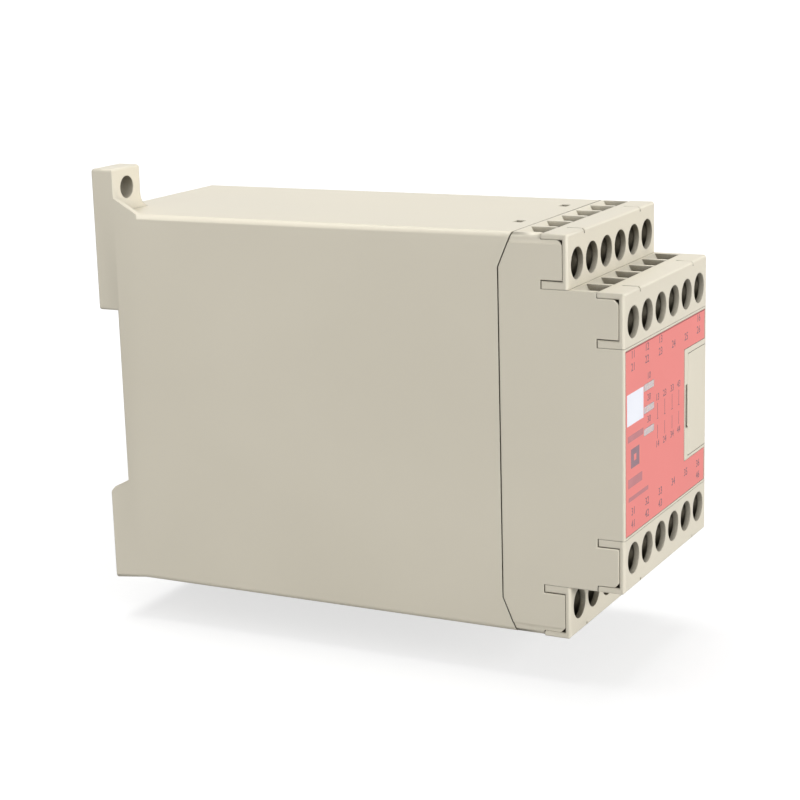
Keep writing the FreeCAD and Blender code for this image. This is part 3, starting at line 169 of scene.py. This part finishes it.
def room_beside(edge, borders):
    """How far an edge is from the other borders of its two regions, and how long its neighbours are."""
    start, end = (vert.co for vert in edge.verts)
    samples = [start.lerp(end, step / ROOM_SAMPLES) for step in range(ROOM_SAMPLES + 1)]
    room, reach = 1.0, 1.0
    for face in edge.link_faces:
        for other in borders[face] - {edge}:
            shared = [vert for vert in edge.verts if vert in other.verts]
            if shared:
                along = (edge.other_vert(shared[0]).co - shared[0].co).normalized()
                across = other.other_vert(shared[0]).co - shared[0].co
                if abs(along.dot(across.normalized())) < SAME_LINE:
                    reach = min(reach, across.length)
                continue
            low, high = (vert.co for vert in other.verts)
            for point in samples:
                share = min(1.0, max(0.0, intersect_point_line(point, low, high)[1]))
                room = min(room, (point - low.lerp(high, share)).length)
    return room, reach


# How near a hole's wall is to its true circle, and how level its rim is, in millimetres.
ON_CIRCLE = 0.02
ON_RIM = 0.01
RIM_CUTS = 2


def round_out(mesh, centre, radius):
    """Give a hole along the depth three times as many sides, all on its true circle."""
    middle = Vector((centre[0], 0, centre[1])) * MM

    def spoke(vert):
        return Vector((vert.co.x - middle.x, 0, vert.co.z - middle.z))

    wall = {face for face in mesh.faces
            if all(abs(spoke(vert).length - radius * MM) < ON_CIRCLE * MM for vert in face.verts)}
    rims = [edge for edge in mesh.edges
            if wall & set(edge.link_faces) and abs(edge.verts[0].co.y - edge.verts[1].co.y) < ON_RIM * MM]
    split = bmesh.ops.bisect_edges(mesh, edges=rims, cuts=RIM_CUTS)["geom_split"]
    fresh = [vert for vert in dict.fromkeys(split) if isinstance(vert, bmesh.types.BMVert)]
    for vert in fresh:
        vert.co += spoke(vert).normalized() * (radius * MM - spoke(vert).length)
    while fresh:
        vert = fresh.pop()
        partner = min(fresh, key=lambda other: (spoke(other) - spoke(vert)).length)
        fresh.remove(partner)
        shared = set(vert.link_faces) & set(partner.link_faces)
        bmesh.utils.face_split(shared.pop(), vert, partner)


# Edges above the rounded angle are rounded, in steps, if they are long enough and have more room than a
# slit. A rounding needs so many times its own size of room, and uses at most its share of a neighbour.
MERGED = 0.001
FLAT_ANGLE = math.radians(0.2)
ROUNDED_ANGLE = math.radians(35)
SHARP_ANGLE = math.radians(35)
SHORTEST_ROUNDED = 1.1
SLIT_ROOM = 0.6
ROOM_NEEDED = 2.3
REACH_USED = 0.8
ROUNDING_STEPS = 3


def place_object(name, data):
    """A new object at the origin, in the scene."""
    made = bpy.data.objects.new(name, data)
    bpy.context.scene.collection.objects.link(made)
    return made


def plain_mesh(maker):
    """The mesh that an object's modifiers or text make. The object itself is taken away."""
    form = bpy.data.meshes.new_from_object(maker.evaluated_get(bpy.context.evaluated_depsgraph_get()))
    maker.modifiers.clear()
    bpy.data.objects.remove(maker)
    return form


def moulding(node, body, material, rounding, joints=(), holes=(), hole_radius=0.0, flats=True):
    """A moulded piece on a node's own form: its longer outer edges rounded, by less where it is tight.

    Edges that lie wholly within a joint stay crisp, so that the joint closes to a thin line, and so do
    the edges of narrow slits and the rims of holes. A joint is an axis and its two ends on that axis.
    With flats, the flat faces shade as flat up to their roundings.
    """
    mesh = bmesh.new()
    mesh.from_mesh(nodes[node].data)
    bmesh.ops.remove_doubles(mesh, verts=mesh.verts, dist=MERGED * MM)
    bmesh.ops.dissolve_limit(mesh, angle_limit=FLAT_ANGLE, verts=mesh.verts, edges=mesh.edges)
    for centre in holes:
        round_out(mesh, centre, hole_radius)
    weight = mesh.edges.layers.float.new("bevel_weight_edge")
    borders = sharp_borders(mesh)
    for edge in mesh.edges:
        if edge.calc_face_angle_signed(0) < ROUNDED_ANGLE or edge.calc_length() < SHORTEST_ROUNDED * MM:
            continue
        if any(all(low * MM < vert.co[axis] < high * MM for vert in edge.verts)
               for axis, low, high in joints):
            continue
        room, reach = room_beside(edge, borders)
        if room > SLIT_ROOM * MM:
            edge[weight] = min(1.0, room / (ROOM_NEEDED * rounding * MM),
                               REACH_USED * reach / (rounding * MM))
    form = bpy.data.meshes.new(node + "_form")
    mesh.to_mesh(form)
    mesh.free()
    form.materials.append(material)
    shaper = place_object(node + "_shaper", form)
    bevel = shaper.modifiers.new("rounding", "BEVEL")
    bevel.limit_method = "WEIGHT"
    bevel.width = rounding * MM
    bevel.segments = ROUNDING_STEPS
    bevel.use_clamp_overlap = False
    rounded = plain_mesh(shaper)
    rounded.shade_smooth()
    rounded.set_sharp_from_angle(angle=SHARP_ANGLE)
    piece = place_object(node + "_moulding", rounded)
    if flats:
        piece.modifiers.new("flat_faces", "WEIGHTED_NORMAL").keep_sharp = True
    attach(piece, body)
    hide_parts(node)


# The dark tone painted as shade deep in the holes, slots and seams of the pale mouldings.
PAINTED_DEEP_SHADE = "#57503F"
SOFT_EDGE = 0.3
# ABS blend with titanium white and a little ochre: an even, soft satin, without sparkle. The real grit
# of the eroded tool is some hundredths of a millimetre, and is drawn ten times coarser so that it shows.
# Its holes, slots and seams take the painted shade.
case_plastic = finish("case_plastic", "#DDD6C4", "#E0D9C7", 30, (0.46, 0.53), 0.5, 0.006,
                      painted_shade=PAINTED_DEEP_SHADE, soft_edge=SOFT_EDGE, IOR=1.54, Specular_IOR_Level=0.4)
# The rear case's own roundings are finely stepped already, and shade evenly as they are.
moulding("rear_case", "casing", case_plastic, CASE_ROUNDING, [SPLIT], flats=False)

# ----------------------------------------------------------------------------------------- rail clip
# Sliding foot that locks the module on the rail. It is moulded in acetal, slicker and a touch yellower
# than the case, and its slot takes the screwdriver that pulls it down against the moulded stop.

CLIP_ROUNDING = 0.3
# Natural acetal: waxy and slightly translucent, with a softer highlight than the case.
# Its slot and hollows take the painted shade.
clip_plastic = finish("clip_plastic", "#D3CAB1", "#D9D0B8", 12, (0.36, 0.44), 0.5, 0.004,
                      painted_shade=PAINTED_DEEP_SHADE, IOR=1.48, Subsurface_Weight=0.1, Subsurface_Scale=0.6 * MM)
moulding("din_clip", "rail_clip", clip_plastic, CLIP_ROUNDING)

# ----------------------------------------------------------------------------------- circuit boards
# Four glass-epoxy boards, 1.6 mm thick: the terminal board behind the screws, the power and relay
# boards along the sides, and the small indicator board. All are coated with green solder mask.

# The tracks follow the pins' pitch. Their gap, length and width are shares of it.
TRACK_PITCH = 2.54
TRACK_GAP = 0.06
TRACK_LONG = 3.0
TRACK_WIDE = 0.5


def dress(material, *names):
    """Give nodes that keep their own form a material."""
    for name in names:
        nodes[name].data.materials.clear()
        nodes[name].data.materials.append(material)


# Solder mask over etched copper: tracks lie a shade lighter under the green than the bare laminate.
solder_mask = finish("solder_mask", "#1F6B3E", "#23744A", 6, (0.30, 0.40), 0.8, 0.01,
                     IOR=1.5, Coat_Weight=0.3, Coat_Roughness=0.25)
tree = solder_mask.node_tree
place = add_node(tree, "ShaderNodeTexCoord").outputs["Object"]
tracks = add_node(tree, "ShaderNodeTexBrick",
                  {"Color1": colour("#1F6B3E"), "Color2": colour("#267A4E"), "Mortar": colour("#174F30"),
                   "Scale": 1 / (TRACK_PITCH * MM), "Mortar Size": TRACK_GAP, "Brick Width": TRACK_LONG,
                   "Row Height": TRACK_WIDE}, {"Vector": place})
tree.links.new(tracks.outputs["Color"], tree.nodes["Principled BSDF"].inputs["Base Color"])
dress(solder_mask, "terminal_board", "power_board", "relay_board", "indicator_board")

# --------------------------------------------------------------------------------- board components
# Sealed safety relays, switched-mode supply and monitoring electronics, all soldered to the boards
# before the case is closed over them.

# Sealed relays: pale PBT with glass fibre, moulded thin, so that it has a dry half gloss.
dress(finish("relay_plastic", "#D9DAD4", "#E2E2DC", 9, (0.40, 0.48), 0.4, 0.006, IOR=1.57),
      "safety_relay_1", "safety_relay_2")
# Ferrite: fired black ceramic, matt and slightly pitted.
dress(finish("ferrite", "#34363A", "#3D3F44", 3, (0.55, 0.70), 0.2, 0.02, IOR=1.7),
      "transformer_core", "filter_choke")
# Winding tape: yellow polyester film over the copper, glossy with the ridges of the turns below.
dress(finish("winding_tape", "#D6A92E", "#E0B640", 5, (0.28, 0.36), 1.1, 0.02, IOR=1.6),
      "transformer_winding")
# Capacitor sleeve: shrunk dark blue PVC, smooth with a soft sheen.
dress(finish("capacitor_sleeve", "#1F2A3C", "#263349", 6, (0.30, 0.40), 0.6, 0.005, Coat_Weight=0.3),
      "input_capacitor", "output_capacitor")
# Dipped epoxy: thick brick-red lacquer, glossy, with a slow waviness.
dress(finish("component_epoxy", "#B8502E", "#C65C38", 4, (0.22, 0.30), 1.5, 0.03, Coat_Weight=0.4),
      "film_capacitor", "surge_varistor")
# Fuse ceramic: glazed steatite, off-white.
dress(finish("fuse_ceramic", "#D8D2C4", "#E4DED0", 3, (0.22, 0.30), 0.4, 0.004, IOR=1.6), "mains_fuse")
# Moulding compound: black filled epoxy, even and dry.
chip_compound = finish("chip_compound", "#232425", "#2B2C2D", 6, (0.50, 0.60), 0.25, 0.008, IOR=1.55)
dress(chip_compound, "bridge_rectifier", "switching_transistor", "optocouplers",
      "monitoring_chip_1", "monitoring_chip_2", "board_connectors")
# Lamp resin: tinted clear epoxy, poured, which lets a little light into its body.
dress(finish("lamp_resin", "#C4DCBC", "#D4E6CC", 2, (0.15, 0.22), 0.5, 0.004, IOR=1.55,
             Subsurface_Weight=0.3, Subsurface_Scale=0.5 * MM), "indicator_lamps")

# ---------------------------------------------------------------------- terminals and clamp washers
# Each terminal is a plate punched from brass strip, tinned, whose tail is soldered to the terminal
# board. A square washer lies on it and is pressed on the wire by the screw.

# Tinned brass: soft white metal, rather dull, with faint marks of the strip.
# Where it lies deep in the bays it takes a painted shade in a dark tone.
tinned_brass = finish("tinned_brass", "#B9B6AC", "#C6C2B6", 2, (0.35, 0.45), 0.25, 0.006,
                      painted_shade="#3E3A30", Metallic=1.0)
dress(tinned_brass, "rear_tier_terminals", "front_tier_terminals")
# Barrel zinc plate: bluish grey and satin, rubbed by the other pieces in the barrel.
# Where they lie deep in the bays they take a painted shade in a dark tone.
zinc_plate = finish("zinc_plate", "#A9ADAE", "#BCBEBC", 1.6, (0.25, 0.38), 0.3, 0.006,
                    painted_shade="#3C3A34", Metallic=1.0)
dress(zinc_plate, "clamp_washers")

# ---------------------------------------------------------------------------------- terminal screws
# Twenty-four M3.5 screws with a rounded head and a cross recess, cold headed in steel and zinc plated.
# They are driven home, each with its recess at the angle that the screwdriver left it.

WAYS = 6
WAY_PITCH = 7.2
SCREW_TIERS = ((-102.4, 21.6), (-102.4, -22.6), (-91.65, 31.7), (-91.65, -32.7))
SCREW_SIZES = {"Ways": WAYS, "Pitch": WAY_PITCH * MM, "Head radius": 2.7 * MM, "Head height": 2.2 * MM,
               "Crown height": 0.35 * MM, "Thread radius": 1.75 * MM, "Thread length": 2.4 * MM,
               "Recess long": 3.9 * MM, "Recess wide": 1.0 * MM, "Recess deep": 1.0 * MM, "Seed": 4,
               "Plating": zinc_plate}
HEAD_SIDES = 36
SHANK_SIDES = 20
CROWN_NARROWINGS = (0.955, 0.86)
# The shank starts inside the head, and the recess's second arm is a little deeper than its first.
SHANK_DROP = -0.29
ARM_HEIGHTS = (("X", "Y", 2.0), ("Y", "X", 2.1))
SCREW_SHARP_ANGLE = math.radians(30)

tree = bpy.data.node_groups.new("terminal_screws", "GeometryNodeTree")
tree.is_modifier = True
tree.interface.new_socket("Tiers", in_out="INPUT", socket_type="NodeSocketGeometry")
tree.interface.new_socket("Screws", in_out="OUTPUT", socket_type="NodeSocketGeometry")
for name, size in SCREW_SIZES.items():
    kind = {int: "NodeSocketInt", float: "NodeSocketFloat"}.get(type(size), "NodeSocketMaterial")
    tree.interface.new_socket(name, in_out="INPUT", socket_type=kind)
sizes = add_node(tree, "NodeGroupInput").outputs
step = add_node(tree, "ShaderNodeCombineXYZ", links={"X": sizes["Pitch"]})
row = add_node(tree, "GeometryNodeMeshLine", links={"Count": sizes["Ways"], "Offset": step.outputs["Vector"]})
rows = add_node(tree, "GeometryNodeInstanceOnPoints",
                links={"Points": sizes["Tiers"], "Instance": row.outputs["Mesh"]})
places = add_node(tree, "GeometryNodeRealizeInstances", links={"Geometry": rows.outputs["Instances"]})
barrel_height = add_node(tree, "ShaderNodeMath", links={0: sizes["Head height"], 1: sizes["Crown height"]},
                         operation="SUBTRACT").outputs["Value"]
barrel_middle = add_node(tree, "ShaderNodeMath", {1: 0.5}, {0: barrel_height}, operation="MULTIPLY")
barrel_place = add_node(tree, "ShaderNodeCombineXYZ", links={"Z": barrel_middle.outputs["Value"]})
barrel = add_node(tree, "GeometryNodeMeshCylinder", {"Vertices": HEAD_SIDES},
                  {"Radius": sizes["Head radius"], "Depth": barrel_height})
head = add_node(tree, "GeometryNodeTransform",
                links={"Geometry": barrel.outputs["Mesh"], "Translation": barrel_place.outputs["Vector"]})
top = barrel.outputs["Top"]
half_crown = add_node(tree, "ShaderNodeMath", {1: 0.5}, {0: sizes["Crown height"]}, operation="MULTIPLY")
for narrowing in CROWN_NARROWINGS:
    crown = add_node(tree, "GeometryNodeExtrudeMesh", {"Individual": False},
                     {"Mesh": head.outputs[0], "Selection": top, "Offset Scale": half_crown.outputs["Value"]})
    head = add_node(tree, "GeometryNodeScaleElements", {"Scale": narrowing},
                    {"Geometry": crown.outputs["Mesh"], "Selection": crown.outputs["Top"]})
    top = crown.outputs["Top"]
shank = add_node(tree, "GeometryNodeMeshCylinder", {"Vertices": SHANK_SIDES},
                 {"Radius": sizes["Thread radius"], "Depth": sizes["Thread length"]})
shank_drop = add_node(tree, "ShaderNodeMath", {1: SHANK_DROP}, {0: sizes["Thread length"]},
                      operation="MULTIPLY")
shank_place = add_node(tree, "ShaderNodeCombineXYZ", links={"Z": shank_drop.outputs["Value"]})
shank = add_node(tree, "GeometryNodeTransform",
                 links={"Geometry": shank.outputs["Mesh"], "Translation": shank_place.outputs["Vector"]})
blank = add_node(tree, "GeometryNodeMeshBoolean", operation="UNION")
tree.links.new(head.outputs[0], blank.inputs["Mesh 2"])
tree.links.new(shank.outputs["Geometry"], blank.inputs["Mesh 2"])
tool_place = add_node(tree, "ShaderNodeCombineXYZ", links={"Z": sizes["Head height"]})
screw = add_node(tree, "GeometryNodeMeshBoolean", links={"Mesh 1": blank.outputs["Mesh"]})
for long_way, short_way, reach in ARM_HEIGHTS:
    tool_height = add_node(tree, "ShaderNodeMath", {1: reach}, {0: sizes["Recess deep"]},
                           operation="MULTIPLY")
    arm_size = add_node(tree, "ShaderNodeCombineXYZ",
                        links={long_way: sizes["Recess long"], short_way: sizes["Recess wide"],
                               "Z": tool_height.outputs["Value"]})
    arm = add_node(tree, "GeometryNodeMeshCube", links={"Size": arm_size.outputs["Vector"]})
    arm = add_node(tree, "GeometryNodeTransform",
                   links={"Geometry": arm.outputs["Mesh"], "Translation": tool_place.outputs["Vector"]})
    tree.links.new(arm.outputs["Geometry"], screw.inputs["Mesh 2"])
facing = add_node(tree, "GeometryNodeTransform", {"Rotation": (math.pi / 2, 0, 0)},
                  {"Geometry": screw.outputs["Mesh"]})
turn = add_node(tree, "FunctionNodeRandomValue", {0: (0, 0, 0), 1: (0, math.tau, 0)},
                {"Seed": sizes["Seed"]}, data_type="FLOAT_VECTOR")
driven = add_node(tree, "GeometryNodeInstanceOnPoints",
                  links={"Points": places.outputs["Geometry"], "Instance": facing.outputs["Geometry"],
                         "Rotation": turn.outputs["Value"]})
made = add_node(tree, "GeometryNodeRealizeInstances", links={"Geometry": driven.outputs["Instances"]})
plated = add_node(tree, "GeometryNodeSetMaterial",
                  links={"Geometry": made.outputs["Geometry"], "Material": sizes["Plating"]})
add_node(tree, "NodeGroupOutput", links={"Screws": plated.outputs["Geometry"]})

first_way = -WAY_PITCH * (WAYS - 1) / 2
tiers = bpy.data.meshes.new("screw_tiers")
tiers.from_pydata([(first_way * MM, seat * MM, level * MM) for seat, level in SCREW_TIERS], [], [])
maker = place_object("screw_maker", tiers)
setting = maker.modifiers.new("terminal_screws", "NODES")
setting.node_group = tree
for item in tree.interface.items_tree:
    if item.name in SCREW_SIZES:
        setting[item.identifier] = SCREW_SIZES[item.name]
driven_screws = plain_mesh(maker)
driven_screws.shade_smooth()
driven_screws.set_sharp_from_angle(angle=SCREW_SHARP_ANGLE)
screws = place_object("driven_screws", driven_screws)
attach(screws, "casing")
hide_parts("terminal_screws")

# --------------------------------------------------------------------------------------- front case
# Stepped head with the comb of terminal bays, moulded in the plastic of the rear case and clicked into
# its four windows. Its walls between the bays are thin, so their edges are nearly sharp.

FRONT_ROUNDING = 0.22
# The levels at which the four terminal covers stand on the steps: crisp joints on both pieces.
COVER_FEET = [(2, 17.0, 17.6), (2, 27.1, 27.7), (2, -18.6, -18.0), (2, -28.7, -28.1)]
moulding("front_case", "casing", case_plastic, FRONT_ROUNDING, [SPLIT] + COVER_FEET)

# -------------------------------------------------------------------------------- expansion header
# Ten-pin shrouded plug for a further module, black glass-filled polyamide, soldered behind its socket.

HEADER_ROUNDING = 0.15
# Glass-filled polyamide: black, with the fibres just under a dry skin.
header_plastic = finish("header_plastic", "#232425", "#2A2B2C", 6, (0.42, 0.52), 0.3, 0.008, IOR=1.53)
moulding("expansion_header", "casing", header_plastic, HEADER_ROUNDING)

# -------------------------------------------------------------------------------------- light guide
# Milky polycarbonate moulding whose three bars stand in the windows of the label. It spreads the light
# of the lamps, and unlit it looks a dull pinkish grey against the film.

# Milky polycarbonate: clear resin with a white diffuser, glossy from the polished tool.
dress(finish("milky_polycarbonate", "#D2C2C2", "#DACBCA", 4, (0.22, 0.30), 0.5, 0.003, IOR=1.58,
             Subsurface_Weight=0.2, Subsurface_Scale=0.8 * MM), "light_guide")

# -------------------------------------------------------------------------------- terminal covers
# Four snap-on covers with the screwdriver holes, a side finger at each end and two latch slits.
# They are moulded in the plastic of the case, with edges almost as fine as those of the front case.

COVER_ROUNDING = 0.25
HOLE_RADIUS = 2.95
HOLE_LEVELS = {("upper", "rear"): 31.7, ("upper", "front"): 21.6,
               ("lower", "rear"): -32.7, ("lower", "front"): -22.6}

for level in ("upper", "lower"):
    for tier in ("rear", "front"):
        holes = [(first_way + way * WAY_PITCH, HOLE_LEVELS[level, tier]) for way in range(WAYS)]
        moulding(f"{level}_{tier}_terminal_cover", "casing", case_plastic, COVER_ROUNDING, COVER_FEET,
                 holes, HOLE_RADIUS)

# ------------------------------------------------------------------------------------- socket cover
# Small lid that is prised out to reach the expansion header. It is moulded in the plastic of the case,
# with the rounding of the terminal covers.

moulding("receptacle_cover", "socket_cover", case_plastic, COVER_ROUNDING)

# -------------------------------------------------------------------------------------- front label
# Red polyester film, screen printed and die cut, in its shallow recess. Its left and top edges stand a
# little off the recess, and a band of darker red along them is painted shade. The printing is plain
# numbers, lines and fields.

LABEL_FACE = -108.75
LABEL_LEFT = -21.9
LABEL_TOP = 16.75
FILM_FLAT_ANGLE = math.radians(1)
FACING_FRONT = -0.9
# Width of the band of painted shade along the film's edges.
EDGE_SHADE_WIDE = 0.22
INK_THICK = 0.012

# Screen-printed polyester: even coral red, smooth, with the soft gloss of a clear film.
label_red = finish("label_red", "#F08781", "#F28A84", 14, (0.34, 0.42), 0.8, 0.002, IOR=1.6)
# Painted shade: a darker red painted on a band along the left and top edges of the film, where it stands off
# its recess.
edge_shade_red = finish("edge_shade_red", "#B4585A", "#BE6062", 3, (0.45, 0.55), 0.5, 0.002, IOR=1.6)
film = bmesh.new()
film.from_mesh(nodes["front_label"].data)
bmesh.ops.remove_doubles(film, verts=film.verts, dist=MERGED * MM)
bmesh.ops.dissolve_limit(film, angle_limit=FILM_FLAT_ANGLE, verts=film.verts, edges=film.edges)
printed_face = [face for face in film.faces if face.normal.y < FACING_FRONT]
rim = bmesh.ops.inset_region(film, faces=printed_face, thickness=EDGE_SHADE_WIDE * MM, use_even_offset=True)
# The rim's bands along the left and top edges take the painted shade; the rest keeps the film's red.
for face in rim["faces"]:
    middle = face.calc_center_median() / MM
    face.material_index = int(middle.x < LABEL_LEFT + EDGE_SHADE_WIDE or middle.z > LABEL_TOP - EDGE_SHADE_WIDE)
form = bpy.data.meshes.new("label_film")
film.to_mesh(form)
film.free()
for material in (label_red, edge_shade_red):
    form.materials.append(material)
label = place_object("label_film", form)
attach(label, "casing")
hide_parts("front_label")


def print_fields(name, material, fields):
    """Thin printed fields on the label: each is left, foot, right and top in millimetres."""
    ink = bmesh.new()
    for left, foot, right, top in fields:
        block = bmesh.ops.create_cube(ink, size=MM)["verts"]
        bmesh.ops.scale(ink, vec=(right - left, INK_THICK, top - foot), verts=block)
        bmesh.ops.translate(ink, vec=Vector(((left + right) / 2, LABEL_FACE - INK_THICK / 2,
                                             (foot + top) / 2)) * MM, verts=block)
    form = bpy.data.meshes.new(name)
    ink.to_mesh(form)
    ink.free()
    form.materials.append(material)
    piece = place_object(name, form)
    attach(piece, "casing")


# White field for notes: matt ink that takes a pen, faintly blue beside the warm case.
print_fields("writing_field", finish("writing_white", "#ECEEF7", "#F0F2FA", 5, (0.60, 0.68), 0.3, 0.003),
             [(-21.15, 2.8, -12.75, 8.65)])
# Fields in a tint of the dark ink, printed as fine dots that merge into a dusty rose.
print_fields("tinted_fields", finish("tint_ink", "#BE7C80", "#C68488", 2, (0.40, 0.48), 0.6, 0.002),
             [(-20.8, -0.3, -12.8, 0.9), (-20.6, -8.9, -13.4, -7.2), (-20.4, -11.5, -10.2, -10.7)])
# Dark ink: a brown black, printed thin enough that the coral film warms it.
dark_ink = finish("dark_ink", "#745F69", "#7C6872", 2, (0.40, 0.48), 0.6, 0.002)
# The plain square ring, in a half tone of the dark ink.
print_fields("square_ring", finish("half_tone_ink", "#92757F", "#9A7D87", 2, (0.40, 0.48), 0.6, 0.002),
             [(-19.2, -5.4, -14.9, -4.2), (-19.2, -3.0, -14.9, -1.8),
              (-19.2, -4.2, -17.7, -3.0), (-16.4, -4.2, -14.9, -3.0)])

# One contact symbol at each place: a line down to a short bar, a gap, and the line on from it.
CONTACTS = (-5.2, -1.3, 2.8, 6.6)
LINE_HALF = 0.07
BAR_HALF = 0.35
UPPER_LINE = (0.9, 3.8)
BAR = (0.78, 0.9)
LOWER_LINE = (-3.0, -0.4)
contact_lines = []
for place in CONTACTS:
    for half, (foot, top) in ((LINE_HALF, UPPER_LINE), (LINE_HALF, LOWER_LINE), (BAR_HALF, BAR)):
        contact_lines.append((place - half, foot, place + half, top))
print_fields("contact_lines", dark_ink, contact_lines)


# A digit's height is this share of the font's size, and each curve in it has this many steps.
DIGIT_SHARE = 0.7
DIGIT_STEPS = 2


def print_number(number, place, level, tall):
    """A printed number as a thin closed mesh, centred on its place on the label."""
    words = bpy.data.curves.new(f"number_{number}", "FONT")
    words.body = str(number)
    words.align_x, words.align_y = "CENTER", "CENTER"
    words.size = tall / DIGIT_SHARE * MM
    words.extrude = INK_THICK / 2 * MM
    words.resolution_u = DIGIT_STEPS
    form = plain_mesh(place_object("setter", words))
    form.transform(Matrix.Translation(Vector((place, LABEL_FACE - INK_THICK / 2, level)) * MM)
                   @ Matrix.Rotation(math.pi / 2, 4, "X"))
    return form


# Each row of terminal numbers is its level, its first number, and the ways that carry none.
NUMBER_TALL = 1.45
NUMBER_ROWS = ((15.6, 11, (3, 4)), (13.3, 21, ()), (-13.7, 31, ()), (-16.1, 41, (3, 4)))
SMALL_NUMBER_TALL = 1.3
LAMP_NUMBERS = ((10, 10.0), (20, 5.95), (30, 1.8))
LAMP_NUMBERS_PLACE = -9.8
CONTACT_NUMBER_LEVELS = ((3, 4.9), (4, -4.1))
numbers = bmesh.new()
for level, first, unused in NUMBER_ROWS:
    for way in range(WAYS):
        if way not in unused:
            numbers.from_mesh(print_number(first + way, first_way + way * WAY_PITCH, level, NUMBER_TALL))
for number, level in LAMP_NUMBERS:
    numbers.from_mesh(print_number(number, LAMP_NUMBERS_PLACE, level, SMALL_NUMBER_TALL))
for contact, place in enumerate(CONTACTS, start=1):
    for end, level in CONTACT_NUMBER_LEVELS:
        numbers.from_mesh(print_number(10 * contact + end, place, level, SMALL_NUMBER_TALL))
bmesh.ops.remove_doubles(numbers, verts=numbers.verts, dist=MERGED * MM)
form = bpy.data.meshes.new("printed_numbers")
numbers.to_mesh(form)
numbers.free()
form.materials.append(dark_ink)
printed_numbers = place_object("printed_numbers", form)
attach(printed_numbers, "casing")

# -------------------------------------------------------------------------------------------- studio
# Pale floor under the module, soft light from above, from the front and from the left, and a camera
# with a long lens to the left of the front and a little above it.

FLOOR_WIDE = 12.0
FLOOR_GAP = 0.2
PAPER_GLOW = 0.66
WORLD_LIGHT = 0.25
floor_level = packed_box[0][2] - FLOOR_GAP * MM
half = FLOOR_WIDE / 2
floor_form = bpy.data.meshes.new("floor")
floor_form.from_pydata([(-half, -half, floor_level), (half, -half, floor_level),
                        (half, half, floor_level), (-half, half, floor_level)], [], [(0, 1, 2, 3)])
floor = place_object("floor", floor_form)
# Matt studio paper that the camera sees as white, and that keeps a faint shadow of the module.
studio_paper = finish("studio_paper", "#A6A6A6", "#A8A8A8", 80, (0.85, 0.95), 4.0, 0.01,
                      Emission_Color=(1, 1, 1, 1))
tree = studio_paper.node_tree
seen = add_node(tree, "ShaderNodeLightPath").outputs["Is Camera Ray"]
lift = add_node(tree, "ShaderNodeMath", {1: PAPER_GLOW}, {0: seen}, operation="MULTIPLY")
tree.links.new(lift.outputs["Value"], tree.nodes["Principled BSDF"].inputs["Emission Strength"])
floor_form.materials.append(studio_paper)

world = bpy.data.worlds.new("studio")
bpy.context.scene.world = world
world.use_nodes = True
tree = world.node_tree
path = add_node(tree, "ShaderNodeLightPath").outputs
seen = add_node(tree, "ShaderNodeMath", links={0: path["Is Camera Ray"], 1: path["Is Glossy Ray"]},
                operation="MAXIMUM").outputs["Value"]
seen = add_node(tree, "ShaderNodeMath", links={0: seen, 1: path["Is Transmission Ray"]},
                operation="MAXIMUM").outputs["Value"]
strength = add_node(tree, "ShaderNodeMapRange", {"To Min": WORLD_LIGHT, "To Max": 1.0}, {"Value": seen})
tree.nodes["Background"].inputs["Color"].default_value = (1, 1, 1, 1)
tree.links.new(strength.outputs["Result"], tree.nodes["Background"].inputs["Strength"])


def soft_light(name, direction, strength, spread):
    """A large soft light far away: the direction it stands in, its strength and the angle it fills."""
    light = bpy.data.lights.new(name, "SUN")
    light.energy = strength
    light.angle = math.radians(spread)
    lamp = place_object(name, light)
    lamp.rotation_euler = Vector(direction).to_track_quat("Z", "Y").to_euler()


soft_light("top_light", (0.10, 0.15, 0.98), 1.6, 40)
soft_light("front_light", (-0.25, -0.90, 0.30), 2.3, 30)
soft_light("left_light", (-0.97, 0.05, 0.15), 0.8, 40)

AZIMUTH = math.radians(-62.55)
ELEVATION = math.radians(13.28)
ROLL = math.radians(-1.64)
DISTANCE = 400
TARGET = (-4.1, -54.1, -0.4)
LENS = 90.17
SENSOR_WIDE = 36
NEAREST_SEEN = 10
camera = bpy.data.cameras.new("camera")
camera.sensor_width = SENSOR_WIDE
camera.lens = LENS
camera.clip_start = NEAREST_SEEN * MM
viewpoint = place_object("camera", camera)
aim = Matrix.Rotation(AZIMUTH, 4, "Z") @ Matrix.Rotation(math.pi / 2 - ELEVATION, 4, "X")
viewpoint.matrix_world = (Matrix.Translation(Vector(TARGET) * MM + aim @ Vector((0, 0, DISTANCE * MM)))
                          @ aim @ Matrix.Rotation(ROLL, 4, "Z"))
bpy.context.scene.camera = viewpoint
bpy.context.scene.view_settings.view_transform = "Standard"
